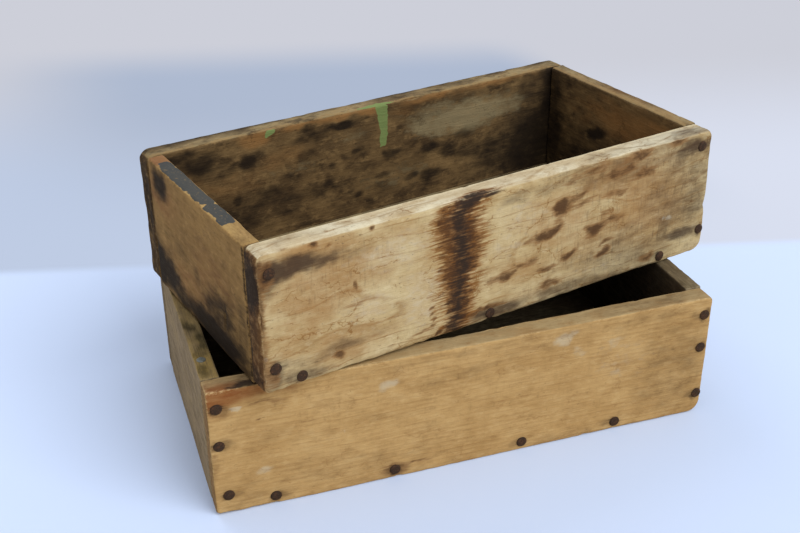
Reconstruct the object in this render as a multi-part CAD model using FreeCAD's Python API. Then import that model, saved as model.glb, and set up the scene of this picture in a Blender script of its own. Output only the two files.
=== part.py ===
import FreeCAD, Part

import math
import os
from dataclasses import dataclass

from FreeCAD import Placement, Rotation, Vector

# A pair of plain nailed pine boxes for candles, open at the top, one standing askew on the other.
# Each box is five boards. The front and back boards run past the two end boards, and the bottom
# board is let in between all four, flush with their lower edges. Round wire nails go through the
# front and back boards, into the end grain of the end boards and into the edges of the bottom.
#
# Frame: the origin is the middle of the lower box's underside, +X runs along its length to the
# right, +Y to the back and +Z up. Lengths are in millimetres and angles in degrees.

# Lower box, over its boards
LOWER_LENGTH = 300.0
LOWER_DEPTH = 163.6
LOWER_HEIGHT = 81.0

# Lower box, thickness of its boards
LOWER_FRONT_THICKNESS = 13.5
LOWER_BACK_THICKNESS = 13.5
LOWER_END_THICKNESS = 11.0
LOWER_BOTTOM_THICKNESS = 11.0

# Upper box, over its boards
UPPER_LENGTH = 302.0
UPPER_DEPTH = 156.4
UPPER_HEIGHT = 81.5

# Upper box, thickness of its boards
UPPER_FRONT_THICKNESS = 14.0
UPPER_BACK_THICKNESS = 14.0
UPPER_END_THICKNESS = 10.5
UPPER_BOTTOM_THICKNESS = 11.0

# Where the upper box stands on the lower box's rim: the turn is anticlockwise seen from above
UPPER_TURN = 12.9
UPPER_SHIFT_RIGHT = 8.4
UPPER_SHIFT_BACK = 14.3

# The upper box's right end board stands in from the ends of the long boards, and the front
# board's right end is sawn out of square, longer at its foot than at its rim
UPPER_RIGHT_END_INSET = 1.5
UPPER_FRONT_END_LEAN = 3.4

# Worn corners of the long boards, seen from the front:
# lower left, lower right, upper right, upper left
LOWER_FRONT_CORNERS = (2.5, 8.0, 3.5, 2.0)
LOWER_BACK_CORNERS = (4.0, 3.0, 4.5, 3.0)
UPPER_FRONT_CORNERS = (5.0, 9.0, 5.5, 5.0)
UPPER_BACK_CORNERS = (4.0, 5.0, 4.5, 6.0)

# How far wear has dished the lower front board's rim at the middle of its length
LOWER_FRONT_DISH = 1.2

# Rounding of the boards' long edges: worn outside and along the rims, barely eased inside
OUTER_ARRIS = 1.5
INNER_ARRIS = 0.7

# A worn corner keeps this share of its radius free of the arris that runs round it
ARRIS_SHARE_OF_CORNER = 0.8

# Round wire nails, with slightly domed heads that stand a little proud of the boards
NAIL_LENGTH = 38.0
NAIL_SHANK_RADIUS = 1.35
NAIL_POINT_LENGTH = 4.0
NAIL_HEAD_RADIUS = 3.3
NAIL_HEAD_THICKNESS = 1.3
NAIL_HEAD_DOME = 0.3
NAIL_HEAD_PROUD = 0.5

# The short tack left in the top edge of the lower box's left end board
TACK_LENGTH = 8.0
TACK_SHANK_RADIUS = 1.0
TACK_POINT_LENGTH = 2.5
TACK_HEAD_RADIUS = 2.6
TACK_HEAD_THICKNESS = 0.9
TACK_HEAD_DOME = 0.15
TACK_HEAD_PROUD = 0.15
TACK_FROM_LEFT = 4.6
TACK_FROM_FRONT = 33.1

# Room left round every nail in the wood
NAIL_CLEARANCE = 0.05

# Nails are drawn with flats in place of their rounds, to keep so many of them light
HEAD_FLATS = 12
SHANK_FLATS = 8

# The level crown of a nail's head, as a share of its radius
CROWN_SHARE_OF_HEAD = 0.6

# Nails into the end boards, as driven by hand. Each pair is how far the nail stands to the right
# of the end board's middle, as a share of half its thickness, and the nail's height as a share of
# the box's height.
LOWER_LEFT_NAILS = ((0.0, 0.86), (-0.07, 0.568), (0.44, 0.157))
LOWER_RIGHT_NAILS = ((0.11, 0.856), (0.13, 0.578), (0.35, 0.17))
UPPER_LEFT_NAILS = ((0.38, 0.855), (0.44, 0.18))
UPPER_RIGHT_NAILS = ((-0.42, 0.885), (0.65, 0.193))

# Nails into the bottom board, spaced along it: shares of half its length from its middle
LOWER_BOTTOM_NAILS = (-0.837, -0.34, 0.222, 0.659)
UPPER_BOTTOM_NAILS = (-0.917, -0.069, 0.84)

# Points closer than this are the same point
SAME_POINT = 1e-6


@dataclass(frozen=True)
class Nail:
    """A round nail: its sizes along and about its own axis."""

    length: float
    shank_radius: float
    point_length: float
    head_radius: float
    head_thickness: float
    head_dome: float
    head_proud: float


@dataclass(frozen=True)
class Box:
    """One nailed box, built about the middle of its own underside."""

    length: float
    depth: float
    height: float
    front_thickness: float
    back_thickness: float
    end_thickness: float
    bottom_thickness: float
    right_end_inset: float
    front_end_lean: float
    front_corners: tuple
    back_corners: tuple
    front_dish: float
    left_nails: tuple
    right_nails: tuple
    bottom_nails: tuple

    @property
    def front(self):
        """Outer face of the front board."""
        return -self.depth / 2

    @property
    def back(self):
        """Outer face of the back board."""
        return self.depth / 2

    @property
    def inner_front(self):
        """Inner face of the front board, where the ends and the bottom begin."""
        return self.front + self.front_thickness

    @property
    def inner_depth(self):
        """Length of the end boards and width of the bottom board."""
        return self.depth - self.front_thickness - self.back_thickness

    @property
    def left_end(self):
        """Outer face of the left end board."""
        return -self.length / 2

    @property
    def right_end(self):
        """Outer face of the right end board."""
        return self.length / 2 - self.right_end_inset

    @property
    def bottom_left(self):
        """Left edge of the bottom board."""
        return self.left_end + self.end_thickness

    @property
    def bottom_right(self):
        """Right edge of the bottom board."""
        return self.right_end - self.end_thickness


WIRE_NAIL = Nail(
    length=NAIL_LENGTH,
    shank_radius=NAIL_SHANK_RADIUS,
    point_length=NAIL_POINT_LENGTH,
    head_radius=NAIL_HEAD_RADIUS,
    head_thickness=NAIL_HEAD_THICKNESS,
    head_dome=NAIL_HEAD_DOME,
    head_proud=NAIL_HEAD_PROUD,
)

TACK = Nail(
    length=TACK_LENGTH,
    shank_radius=TACK_SHANK_RADIUS,
    point_length=TACK_POINT_LENGTH,
    head_radius=TACK_HEAD_RADIUS,
    head_thickness=TACK_HEAD_THICKNESS,
    head_dome=TACK_HEAD_DOME,
    head_proud=TACK_HEAD_PROUD,
)

LOWER = Box(
    length=LOWER_LENGTH,
    depth=LOWER_DEPTH,
    height=LOWER_HEIGHT,
    front_thickness=LOWER_FRONT_THICKNESS,
    back_thickness=LOWER_BACK_THICKNESS,
    end_thickness=LOWER_END_THICKNESS,
    bottom_thickness=LOWER_BOTTOM_THICKNESS,
    right_end_inset=0.0,
    front_end_lean=0.0,
    front_corners=LOWER_FRONT_CORNERS,
    back_corners=LOWER_BACK_CORNERS,
    front_dish=LOWER_FRONT_DISH,
    left_nails=LOWER_LEFT_NAILS,
    right_nails=LOWER_RIGHT_NAILS,
    bottom_nails=LOWER_BOTTOM_NAILS,
)

UPPER = Box(
    length=UPPER_LENGTH,
    depth=UPPER_DEPTH,
    height=UPPER_HEIGHT,
    front_thickness=UPPER_FRONT_THICKNESS,
    back_thickness=UPPER_BACK_THICKNESS,
    end_thickness=UPPER_END_THICKNESS,
    bottom_thickness=UPPER_BOTTOM_THICKNESS,
    right_end_inset=UPPER_RIGHT_END_INSET,
    front_end_lean=UPPER_FRONT_END_LEAN,
    front_corners=UPPER_FRONT_CORNERS,
    back_corners=UPPER_BACK_CORNERS,
    front_dish=0.0,
    left_nails=UPPER_LEFT_NAILS,
    right_nails=UPPER_RIGHT_NAILS,
    bottom_nails=UPPER_BOTTOM_NAILS,
)


def line(start, end):
    """Straight edge between two points."""
    return Part.LineSegment(start, end).toShape()


def corner_arc(start, end, corner):
    """Quarter-like arc from start to end that rounds off the corner point between them."""
    chord_middle = (start + end) * 0.5
    radius = start.distanceToPoint(corner)
    towards_corner = (corner - chord_middle).normalize()
    rise = radius * (1 - math.cos(math.pi / 4))
    return Part.Arc(start, chord_middle + towards_corner * rise, end).toShape()


def dished_edge(start, end, dish):
    """Rim edge that leaves both ends level and sinks by the dish at its middle."""
    if dish < SAME_POINT:
        return line(start, end)
    middle = (start + end) * 0.5 - Vector(0, 0, dish)
    along = (end - start).normalize()
    curve = Part.BSplineCurve()
    curve.interpolate(Points=[start, middle, end], InitialTangent=along, FinalTangent=along)
    return curve.toShape()


def long_board_outline(box, y, corners, dish, lean):
    """Face of a front or back board in the plane y: worn corners, a dished rim and a sawn right end."""
    lower_left, lower_right, upper_right, upper_left = corners
    left = -box.length / 2
    right = box.length / 2
    foot = right + lean / 2
    rim = right - lean / 2
    up_the_end = Vector(rim - foot, 0, box.height).normalize()

    foot_corner = Vector(foot, y, 0)
    rim_corner = Vector(rim, y, box.height)
    points = [
        Vector(left + lower_left, y, 0),
        Vector(foot - lower_right, y, 0),
        foot_corner + up_the_end * lower_right,
        rim_corner - up_the_end * upper_right,
        Vector(rim - upper_right, y, box.height),
        Vector(left + upper_left, y, box.height),
        Vector(left, y, box.height - upper_left),
        Vector(left, y, lower_left),
    ]
    return [
        line(points[0], points[1]),
        corner_arc(points[1], points[2], foot_corner),
        line(points[2], points[3]),
        corner_arc(points[3], points[4], rim_corner),
        dished_edge(points[5], points[4], dish),
        corner_arc(points[5], points[6], Vector(left, y, box.height)),
        line(points[6], points[7]),
        corner_arc(points[7], points[0], Vector(left, y, 0)),
    ]


def edges_in_plane(shape, y):
    """Edges whose ends both lie in the plane y."""
    return [
        edge
        for edge in shape.Edges
        if all(abs(vertex.Point.y - y) < SAME_POINT for vertex in edge.Vertexes)
    ]


def long_board(box, inner_y, outer_y, corners, dish, lean):
    """Front or back board between its inner and outer faces: its outer arrises are worn round
    and its inner ones eased."""
    outline = Part.Wire(Part.__sortEdges__(long_board_outline(box, inner_y, corners, dish, lean)))
    board = Part.Face(outline).extrude(Vector(0, outer_y - inner_y, 0))
    outer_arris = min(OUTER_ARRIS, ARRIS_SHARE_OF_CORNER * min(corners))
    inner_arris = min(INNER_ARRIS, ARRIS_SHARE_OF_CORNER * min(corners))
    board = board.makeFillet(outer_arris, edges_in_plane(board, outer_y))
    return board.makeChamfer(inner_arris, edges_in_plane(board, inner_y))


def front_board(box):
    """The board that faces the front."""
    return long_board(
        box, box.inner_front, box.front, box.front_corners, box.front_dish, box.front_end_lean
    )


def back_board(box):
    """The board that faces the back, its rim straight and its ends sawn square."""
    return long_board(box, box.back - box.back_thickness, box.back, box.back_corners, 0.0, 0.0)


def end_board(box, outer_x, inner_x):
    """An end board: its upright section, rounded along the rim and the outer foot, run from
    the front board to the back board."""
    y = box.inner_front
    outwards = math.copysign(1.0, outer_x - inner_x)
    points = [
        Vector(inner_x, y, 0),
        Vector(outer_x - outwards * INNER_ARRIS, y, 0),
        Vector(outer_x, y, INNER_ARRIS),
        Vector(outer_x, y, box.height - OUTER_ARRIS),
        Vector(outer_x - outwards * OUTER_ARRIS, y, box.height),
        Vector(inner_x + outwards * INNER_ARRIS, y, box.height),
        Vector(inner_x, y, box.height - INNER_ARRIS),
    ]
    section = [
        line(points[0], points[1]),
        corner_arc(points[1], points[2], Vector(outer_x, y, 0)),
        line(points[2], points[3]),
        corner_arc(points[3], points[4], Vector(outer_x, y, box.height)),
        line(points[4], points[5]),
        corner_arc(points[5], points[6], Vector(inner_x, y, box.height)),
        line(points[6], points[0]),
    ]
    return Part.Face(Part.Wire(section)).extrude(Vector(0, box.inner_depth, 0))


def bottom_board(box):
    """The board let in between the other four, flush with their lower edges."""
    corner = Vector(box.bottom_left, box.inner_front, 0)
    width = box.bottom_right - box.bottom_left
    outline = Part.makePlane(width, box.inner_depth, corner)
    return outline.extrude(Vector(0, 0, box.bottom_thickness))


def flat_face(points):
    """Flat face round the points, leaving out those that repeat the one before."""
    befores = [points[-1]] + points[:-1]
    corners = [
        point for point, before in zip(points, befores) if not point.isEqual(before, SAME_POINT)
    ]
    return Part.Face(Part.makePolygon(corners + corners[:1]))


def faceted_round(sections, flats):
    """Solid with flat sides through level rings, given from the bottom up as (radius, height).
    A first ring with no radius is a point."""
    turns = [2 * math.pi * index / flats for index in range(flats)]
    rings = [
        [Vector(radius * math.cos(turn), radius * math.sin(turn), height) for turn in turns]
        for radius, height in sections
    ]
    outlines = [rings[-1]]
    if sections[0][0]:
        outlines.append(rings[0])
    for low, high in zip(rings, rings[1:]):
        for index in range(flats):
            outlines.append([low[index - 1], low[index], high[index], high[index - 1]])
    return Part.Solid(Part.Shell([flat_face(outline) for outline in outlines]))


def nail_shape(nail, head, clearance, top):
    """A head given by its rings, joined to a pointed shank that runs up inside it to the top."""
    tip = -nail.length - clearance
    shoulder = nail.point_length - nail.length
    radius = nail.shank_radius + clearance
    shank = faceted_round([(0, tip), (radius, shoulder), (radius, top)], SHANK_FLATS)
    return faceted_round(head, HEAD_FLATS).fuse(shank).removeSplitter().Solids[0]


def nail_solid(nail):
    """The nail along the Z axis, its head up and its board's face at height 0."""
    top = nail.head_proud
    rim = top - nail.head_dome
    seat = top - nail.head_thickness
    crown = CROWN_SHARE_OF_HEAD * nail.head_radius
    head = [(nail.head_radius, seat), (nail.head_radius, rim), (crown, top)]
    return nail_shape(nail, head, 0.0, rim)


def nail_hole(nail):
    """The room a nail takes in the wood: its shank and head grown by the clearance. The head's
    seat isn't grown, so the head bears on the wood."""
    seat = nail.head_proud - nail.head_thickness
    above = 2 * nail.head_thickness
    radius = nail.head_radius + NAIL_CLEARANCE
    return nail_shape(nail, [(radius, seat), (radius, above)], NAIL_CLEARANCE, above)


def placed(shape, position, outwards):
    """A copy of a nail or a hole with its head at the position, facing outwards."""
    copy = shape.copy()
    copy.Placement = Placement(position, Rotation(Vector(0, 0, 1), outwards))
    return copy


def end_nail_places(box, nails, end_middle, y):
    """Where the nails into one end board stand on the long board's face in the plane y."""
    half = box.end_thickness / 2
    return [Vector(end_middle + aside * half, y, share * box.height) for aside, share in nails]


def bottom_nail_places(box, y):
    """Where the nails into the bottom board's edge stand on the long board's face in the plane y."""
    middle = (box.bottom_left + box.bottom_right) / 2
    half = (box.bottom_right - box.bottom_left) / 2
    height = box.bottom_thickness / 2
    return [Vector(middle + share * half, y, height) for share in box.bottom_nails]


def nail_places(box, y):
    """The nails of one long board: those into the left end, the right end and the bottom."""
    left_middle = (box.left_end + box.bottom_left) / 2
    right_middle = (box.right_end + box.bottom_right) / 2
    return {
        "left_nails": end_nail_places(box, box.left_nails, left_middle, y),
        "right_nails": end_nail_places(box, box.right_nails, right_middle, y),
        "bottom_nails": bottom_nail_places(box, y),
    }


def nail_group(shape, places, outwards):
    """The same nail or hole at each place, as one group of separate solids."""
    return Part.makeCompound([placed(shape, place, outwards) for place in places])


def build_box(box, name):
    """The boards and nails of one box, in its own frame, by node name."""
    forwards = Vector(0, -1, 0)
    backwards = Vector(0, 1, 0)
    nail = nail_solid(WIRE_NAIL)
    hole = nail_hole(WIRE_NAIL)
    pieces = {}
    holes = {}
    for side, y, outwards in (("front", box.front, forwards), ("back", box.back, backwards)):
        for group, places in nail_places(box, y).items():
            pieces[f"{name}_{side}_{group}"] = nail_group(nail, places, outwards)
            holes[side, group] = nail_group(hole, places, outwards)

    front_holes = [holes["front", group] for group in nail_places(box, box.front)]
    back_holes = [holes["back", group] for group in nail_places(box, box.back)]
    left_holes = [holes[side, "left_nails"] for side in ("front", "back")]
    right_holes = [holes[side, "right_nails"] for side in ("front", "back")]
    bottom_holes = [holes[side, "bottom_nails"] for side in ("front", "back")]

    left_end = end_board(box, box.left_end, box.bottom_left)
    right_end = end_board(box, box.right_end, box.bottom_right)
    pieces[f"{name}_front_board"] = front_board(box).cut(front_holes)
    pieces[f"{name}_back_board"] = back_board(box).cut(back_holes)
    pieces[f"{name}_left_end_board"] = left_end.cut(left_holes)
    pieces[f"{name}_right_end_board"] = right_end.cut(right_holes)
    pieces[f"{name}_bottom_board"] = bottom_board(box).cut(bottom_holes)
    return pieces


def add_tack(pieces):
    """Drives the tack into the top edge of the lower box's left end board."""
    place = Vector(
        LOWER.left_end + TACK_FROM_LEFT, LOWER.front + TACK_FROM_FRONT, LOWER.height
    )
    up = Vector(0, 0, 1)
    board = pieces["lower_left_end_board"]
    pieces["lower_left_end_board"] = board.cut(placed(nail_hole(TACK), place, up))
    pieces["lower_rim_tack"] = placed(nail_solid(TACK), place, up)


def stand_upper_box(pieces):
    """Turns the upper box's pieces and stands them on the lower box's rim."""
    stand = Placement(
        Vector(UPPER_SHIFT_RIGHT, UPPER_SHIFT_BACK, LOWER_HEIGHT),
        Rotation(Vector(0, 0, 1), UPPER_TURN),
    )
    return {name: shape.transformed(stand.toMatrix()) for name, shape in pieces.items()}


def main():
    """Builds both boxes and writes one file for each node."""
    pieces = build_box(LOWER, "lower")
    add_tack(pieces)
    pieces.update(stand_upper_box(build_box(UPPER, "upper")))
    os.makedirs("parts", exist_ok=True)
    for name, shape in pieces.items():
        shape.exportStep(os.path.join("parts", f"{name}.step"))


main()
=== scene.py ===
import logging
import math
from dataclasses import dataclass, field, replace
from enum import Enum
from itertools import product

import bmesh
import bpy
import numpy as np
from mathutils import Matrix, Vector


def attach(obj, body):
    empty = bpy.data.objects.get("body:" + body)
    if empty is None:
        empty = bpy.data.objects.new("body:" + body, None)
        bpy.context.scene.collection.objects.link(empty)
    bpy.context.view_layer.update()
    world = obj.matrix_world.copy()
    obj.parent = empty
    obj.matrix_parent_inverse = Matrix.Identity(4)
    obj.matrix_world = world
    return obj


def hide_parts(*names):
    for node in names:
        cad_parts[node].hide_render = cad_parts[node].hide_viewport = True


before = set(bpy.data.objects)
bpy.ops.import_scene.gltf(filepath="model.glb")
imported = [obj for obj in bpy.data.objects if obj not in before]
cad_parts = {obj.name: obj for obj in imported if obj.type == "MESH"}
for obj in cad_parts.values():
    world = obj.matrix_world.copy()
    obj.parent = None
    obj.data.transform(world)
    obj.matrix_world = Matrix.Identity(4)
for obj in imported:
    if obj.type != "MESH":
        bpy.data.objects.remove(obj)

# A pair of nailed pine candle boxes, one standing askew on the other. Boards and nails are laid
# out in millimetres in each box's own frame, about the middle of its underside, and are written
# into their meshes in metres in the row frame.

Array = np.ndarray
Pair = tuple[float, float]
Triple = tuple[float, float, float]
Colour = tuple[float, float, float, float]
Socket = bpy.types.NodeSocket

MM = 0.001
LOG = logging.getLogger("candle_boxes")

# what a divisor is held above, and the distance in metres within which two vertices are one
TINY = 1e-9
WELD = 1e-7
# odd factors and shifts that mix the bits of a cell's indices and its seed
SEED_FACTOR = 0x9E3779B1
AXIS_FACTORS = (0x8DA6B343, 0xD8163841, 0xCB1AB31F)
MIX_STEPS = ((16, 0x7FEB352D), (15, 0x846CA68B))
LAST_SHIFT = 16
# cosines between which a face counts more and more as turned to a side: 63 and 26 degrees
FACING = (0.45, 0.9)
# a mark's own field between which it comes to show at all, however far its outline is swung
FIRST_SHOWN = (0.0, 0.12)
# how far one step of a board's seed moves its pattern, in millimetres
SEED_SHIFT = (137.0, 59.0, 83.0)
# places in the fan that rounds one arris, and the millimetres it reaches from the edge
FAN_PLACES = 7
FAN_REACH = 2.6
# cells of the noises that wear a board, in millimetres
WANDER_CELL, NIBBLE_CELL, CHIP_CELL, RUB_CELL = 17.0, 4.5, 9.0, 16.0
FIBRE_LONG, FIBRE_WIDE = 34.0, 2.2
PLANE_CELL = (45.0, 30.0, 30.0)
TORN_CELL = (7.0, 5.0, 5.0)
# least radius of an arris, and its largest share of the board's least size
LEAST_ARRIS, MOST_ARRIS = 0.35, 0.45
# millimetres from an arris over which it is rubbed bare, and from a sawn end over which it leans
RUB_ZONE, LEAN_ZONE = 3.0, 30.0
# share of the height above which the rim sinks
DISH_FROM = 0.6
# how marks' outlines bend: millimetres aside, cell and seed
BENDS = ((2.0, 8.0, 30), (0.9, 3.0, 33))
# what is added to a box's seed for each further board, face and group of nails
BOARD_SEEDS, FACE_SEEDS, GROUP_SEEDS = 10, 100, 20


class Side(Enum):
    """Faces of a board: the outward normal, and the two axes that a place on it is given along."""

    FRONT = ((0, -1, 0), 0, 2)
    BACK = ((0, 1, 0), 0, 2)
    LEFT = ((-1, 0, 0), 1, 2)
    RIGHT = ((1, 0, 0), 1, 2)
    TOP = ((0, 0, 1), 0, 1)
    BOTTOM = ((0, 0, -1), 0, 1)


class Trace(Enum):
    """What use has left on the wood, with painted shade and painted sheen in some marks. Each is a
    field on the mesh, 0.5 on the outline of a mark.
    """

    SPOT = "spot"
    # smudges, and painted shade on the inner face of the lower box's right end
    SMUDGE = "smudge"
    BARE = "bare"
    # pale wear, and painted sheen on the bottom inside the upper box
    PALE = "pale"
    WARM = "warm"
    PAINT = "paint"
    SCORCH = "scorch"
    # char and rust, and painted shade: the dark inside of the lower box and the seams at the upper
    # box's left end
    CHAR = "char"
    END_GRAIN = "end_grain"
    RIM = "rim"
    SCUFF = "scuff"


class Grain(Enum):
    """Which way the grain runs: the turns about Z and then X that lay it along X, face up Z."""

    LONG = (0.0, 0.0)
    ACROSS = (-90.0, 0.0)
    FLAT = (0.0, 90.0)


def hashed(cells: Array, seed: int) -> Array:
    """Gives each whole-number cell a fixed value: its three indices are mixed bit by bit.

    Args:
        cells: whole-number cells, the last axis holding x, y and z.
        seed: picks another set of values.

    Returns:
        Values from -1 to 1, one for each cell.
    """
    mixed = np.uint32(seed * SEED_FACTOR & 0xFFFFFFFF)
    for axis, factor in enumerate(AXIS_FACTORS):
        mixed = mixed ^ (cells[..., axis].astype(np.int64).astype(np.uint32) * np.uint32(factor))
    for shift, factor in MIX_STEPS:
        mixed ^= mixed >> np.uint32(shift)
        mixed *= np.uint32(factor)
    mixed ^= mixed >> np.uint32(LAST_SHIFT)
    return mixed / 2.0**31 - 1.0


def noise(points: Array, cell: Triple | float, seed: int) -> Array:
    """Smooth noise: the values on each cell's corners, blended by 3t^2 - 2t^3 along each axis.

    Args:
        points: places in millimetres.
        cell: size of a cell in millimetres, one for all axes or along x, y and z.
        seed: picks another pattern.

    Returns:
        Values from -1 to 1, one for each point.
    """
    scaled = points / np.array(cell)
    base = np.floor(scaled)
    part = scaled - base
    part = part * part * (3 - 2 * part)
    total = np.zeros(points.shape[:-1])
    for corner in product((0, 1), repeat=3):
        weight = np.prod(np.where(np.array(corner) == 1, part, 1 - part), axis=-1)
        total += weight * hashed(base + corner, seed)
    return total


def wobble(points: Array, cell: float, seed: int) -> Array:
    """Smooth noise for each of x, y and z, to bend an outline with."""
    return np.stack([noise(points, cell, seed + axis) for axis in range(3)], axis=-1)


def rise(value: Array, low: float, high: float) -> Array:
    """Goes smoothly from 0 at low to 1 at high, as 3t^2 - 2t^3."""
    t = np.clip((value - low) / (high - low), 0.0, 1.0)
    return t * t * (3 - 2 * t)


def facing(normals: Array, side: Side) -> Array:
    """How squarely each point faces a side, from 0 past 63 degrees to 1 within 26."""
    return rise(normals @ np.array(side.value[0], float), *FACING)


def oval_radius(points: Array, side: Side, at: Pair, half: Pair, tilt: float) -> Array:
    """Distance from an oval's middle over its half-size in that direction: 1 on its outline.

    Args:
        points: places in millimetres.
        side: the face the oval lies on.
        at: its middle along the face's two axes.
        half: its two half-sizes.
        tilt: turn from the face's first axis, in degrees.

    Returns:
        The radius at each point.
    """
    _, first, second = side.value
    u = points[:, first] - at[0]
    v = points[:, second] - at[1]
    c, s = math.cos(math.radians(tilt)), math.sin(math.radians(tilt))
    return np.hypot((c * u + s * v) / half[0], (c * v - s * u) / half[1])


@dataclass(frozen=True)
class Blot:
    """An oval mark: 0.5 on its outline, rising to 1 inside and falling to 0 outside."""

    trace: Trace
    side: Side
    at: Pair
    half: Pair
    strength: float = 1.0
    tilt: float = 0.0

    def field(self, points: Array, normals: Array) -> Array:
        """The mark's field at each point: 1.5 less the oval radius, held between 0 and 1."""
        radius = oval_radius(points, self.side, self.at, self.half, self.tilt)
        return self.strength * np.clip(1.5 - radius, 0.0, 1.0) * facing(normals, self.side)


@dataclass(frozen=True)
class Band:
    """A mark between a low and a high edge that change along the face's other axis."""

    trace: Trace
    side: Side
    knots: tuple[Triple, ...]
    reach: float = 8.0
    strength: float = 1.0
    upright: bool = True

    def field(self, points: Array, normals: Array) -> Array:
        """The mark's field: 0.5 on both edges, and 1 or 0 at the reach in or out. The edges are
        straight between the knots, each of which is (place, low edge, high edge).

        Args:
            points: places in millimetres.
            normals: the outward normals there.

        Returns:
            The field at each point.
        """
        _, first, second = self.side.value
        along, across = (second, first) if self.upright else (first, second)
        places, lows, highs = np.array(self.knots).T
        low = np.interp(points[:, along], places, lows)
        high = np.interp(points[:, along], places, highs)
        depth = np.minimum(points[:, across] - low, high - points[:, across])
        ends = np.minimum(points[:, along] - places[0], places[-1] - points[:, along])
        inside = np.clip(0.5 + np.minimum(depth, ends + self.reach) / (2 * self.reach), 0.0, 1.0)
        return self.strength * inside * facing(normals, self.side)


@dataclass(frozen=True)
class Dent:
    """A hollow pressed or split into a face: its depth fades as the bell curve of its radius."""

    side: Side
    at: Pair
    half: Pair
    depth: float
    tilt: float = 0.0

    def hollow(self, points: Array, normals: Array) -> Array:
        """Wood lost at each point, in millimetres."""
        radius = oval_radius(points, self.side, self.at, self.half, self.tilt)
        return self.depth * np.exp(-radius**2) * facing(normals, self.side)


@dataclass(frozen=True)
class Shader:
    """A node tree while it is written: each method adds nodes and gives back what they put out."""

    tree: bpy.types.NodeTree

    def add(self, kind: str, links: dict, **settings: object) -> bpy.types.Node:
        """Adds a node.

        Args:
            kind: the node's type.
            links: for each input, by name or number, the socket it is joined to or its value.
            settings: the node's own properties.

        Returns:
            The new node.
        """
        node = self.tree.nodes.new(kind)
        for name, value in settings.items():
            setattr(node, name, value)
        for key, value in links.items():
            if isinstance(value, Socket):
                self.tree.links.new(value, node.inputs[key])
            else:
                node.inputs[key].default_value = value
        return node

    def place(self) -> Socket:
        """Object coordinates, in metres."""
        return self.add("ShaderNodeTexCoord", {}).outputs["Object"]

    def calc(self, operation: str, *values: Socket | float) -> Socket:
        """Computes a number from numbers."""
        links = dict(enumerate(values))
        return self.add("ShaderNodeMath", links, operation=operation).outputs[0]

    def vector(self, operation: str, *values: Socket | Triple) -> Socket:
        """Computes a vector from vectors."""
        links = dict(enumerate(values))
        return self.add("ShaderNodeVectorMath", links, operation=operation).outputs[0]

    def both(self, first: Socket, second: Socket | float) -> Socket:
        """The product of two masks."""
        return self.calc("MULTIPLY", first, second)

    def cut(self, value: Socket, low: float, high: float) -> Socket:
        """Goes smoothly from 0 where the value is low to 1 where it is high."""
        links = {0: value, 1: low, 2: high}
        return self.add("ShaderNodeMapRange", links, interpolation_type="SMOOTHSTEP").outputs[0]

    def scaled(self, value: Socket, start: Pair, end: Pair) -> Socket:
        """Goes straight from the second number of start, at its first, to that of end."""
        links = {0: value, 1: start[0], 2: end[0], 3: start[1], 4: end[1]}
        return self.add("ShaderNodeMapRange", links).outputs[0]

    def mix(self, share: Socket, first: Socket | Colour, second: Colour) -> Socket:
        """The first colour, with its share of the second laid over it."""
        links = {0: share, 6: first, 7: second}
        return self.add("ShaderNodeMix", links, data_type="RGBA").outputs[2]

    def mottle(self, place: Socket, scale: float, detail: float, rough: float) -> tuple:
        """Noise at some coordinates.

        Args:
            place: the coordinates.
            scale: cells to their unit.
            detail: how many finer layers are laid over it.
            rough: the strength of each layer over that of the one before.

        Returns:
            Its value and its colour, all from 0 to 1.
        """
        links = {"Vector": place, "Scale": scale, "Detail": detail, "Roughness": rough}
        return tuple(self.add("ShaderNodeTexNoise", links).outputs)

    def streaks(self, place: Socket, along: float, wide: float, detail: float) -> Socket:
        """Noise in cells that lie along X, as the grain does.

        Args:
            place: coordinates in millimetres.
            along: length of a cell, in millimetres.
            wide: its width and depth.
            detail: how many finer layers are laid over it.

        Returns:
            Values from 0 to 1.
        """
        shrunk = self.vector("MULTIPLY", place, (1.0 / along, 1.0 / wide, 1.0 / wide))
        return self.mottle(shrunk, 1.0, detail, 0.6)[0]

    def mark(self, trace: Trace, grain: Socket, swing: float, low: float, high: float) -> Socket:
        """Breaks up the outline of a mark: its field is swung by a noise, then cut.

        Args:
            trace: which mark.
            grain: the noise that frays the outline.
            swing: how far it moves the field.
            low: the swung field where the mark starts to show.
            high: the swung field where it shows fully.

        Returns:
            0 outside the mark to 1 inside.
        """
        found = self.add("ShaderNodeAttribute", {}, attribute_name=trace.value).outputs["Fac"]
        frayed = self.calc("MULTIPLY_ADD", grain, swing, -swing / 2)
        shown = self.cut(self.calc("ADD", found, frayed), low, high)
        return self.both(shown, self.cut(found, *FIRST_SHOWN))

    def surface(self, links: dict) -> None:
        """Ends a material with one surface that has the given inputs."""
        made = self.add("ShaderNodeBsdfPrincipled", links)
        self.add("ShaderNodeOutputMaterial", {"Surface": made.outputs[0]})


def linear(colour: str) -> Colour:
    """Turns a sRGB hex colour into linear red, green, blue and full alpha."""
    parts = [int(colour[start : start + 2], 16) / 255 for start in (1, 3, 5)]
    return (*(p / 12.92 if p <= 0.04045 else ((p + 0.055) / 1.055) ** 2.4 for p in parts), 1.0)


def new_material(name: str) -> tuple[bpy.types.Material, Shader]:
    """An empty node material, and the shader to fill it with."""
    material = bpy.data.materials.new(name)
    material.use_nodes = True
    material.node_tree.nodes.clear()
    return material, Shader(material.node_tree)


def turned(degrees: float, axis: str) -> Matrix:
    """A turn about one axis."""
    return Matrix.Rotation(math.radians(degrees), 4, axis)


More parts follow.
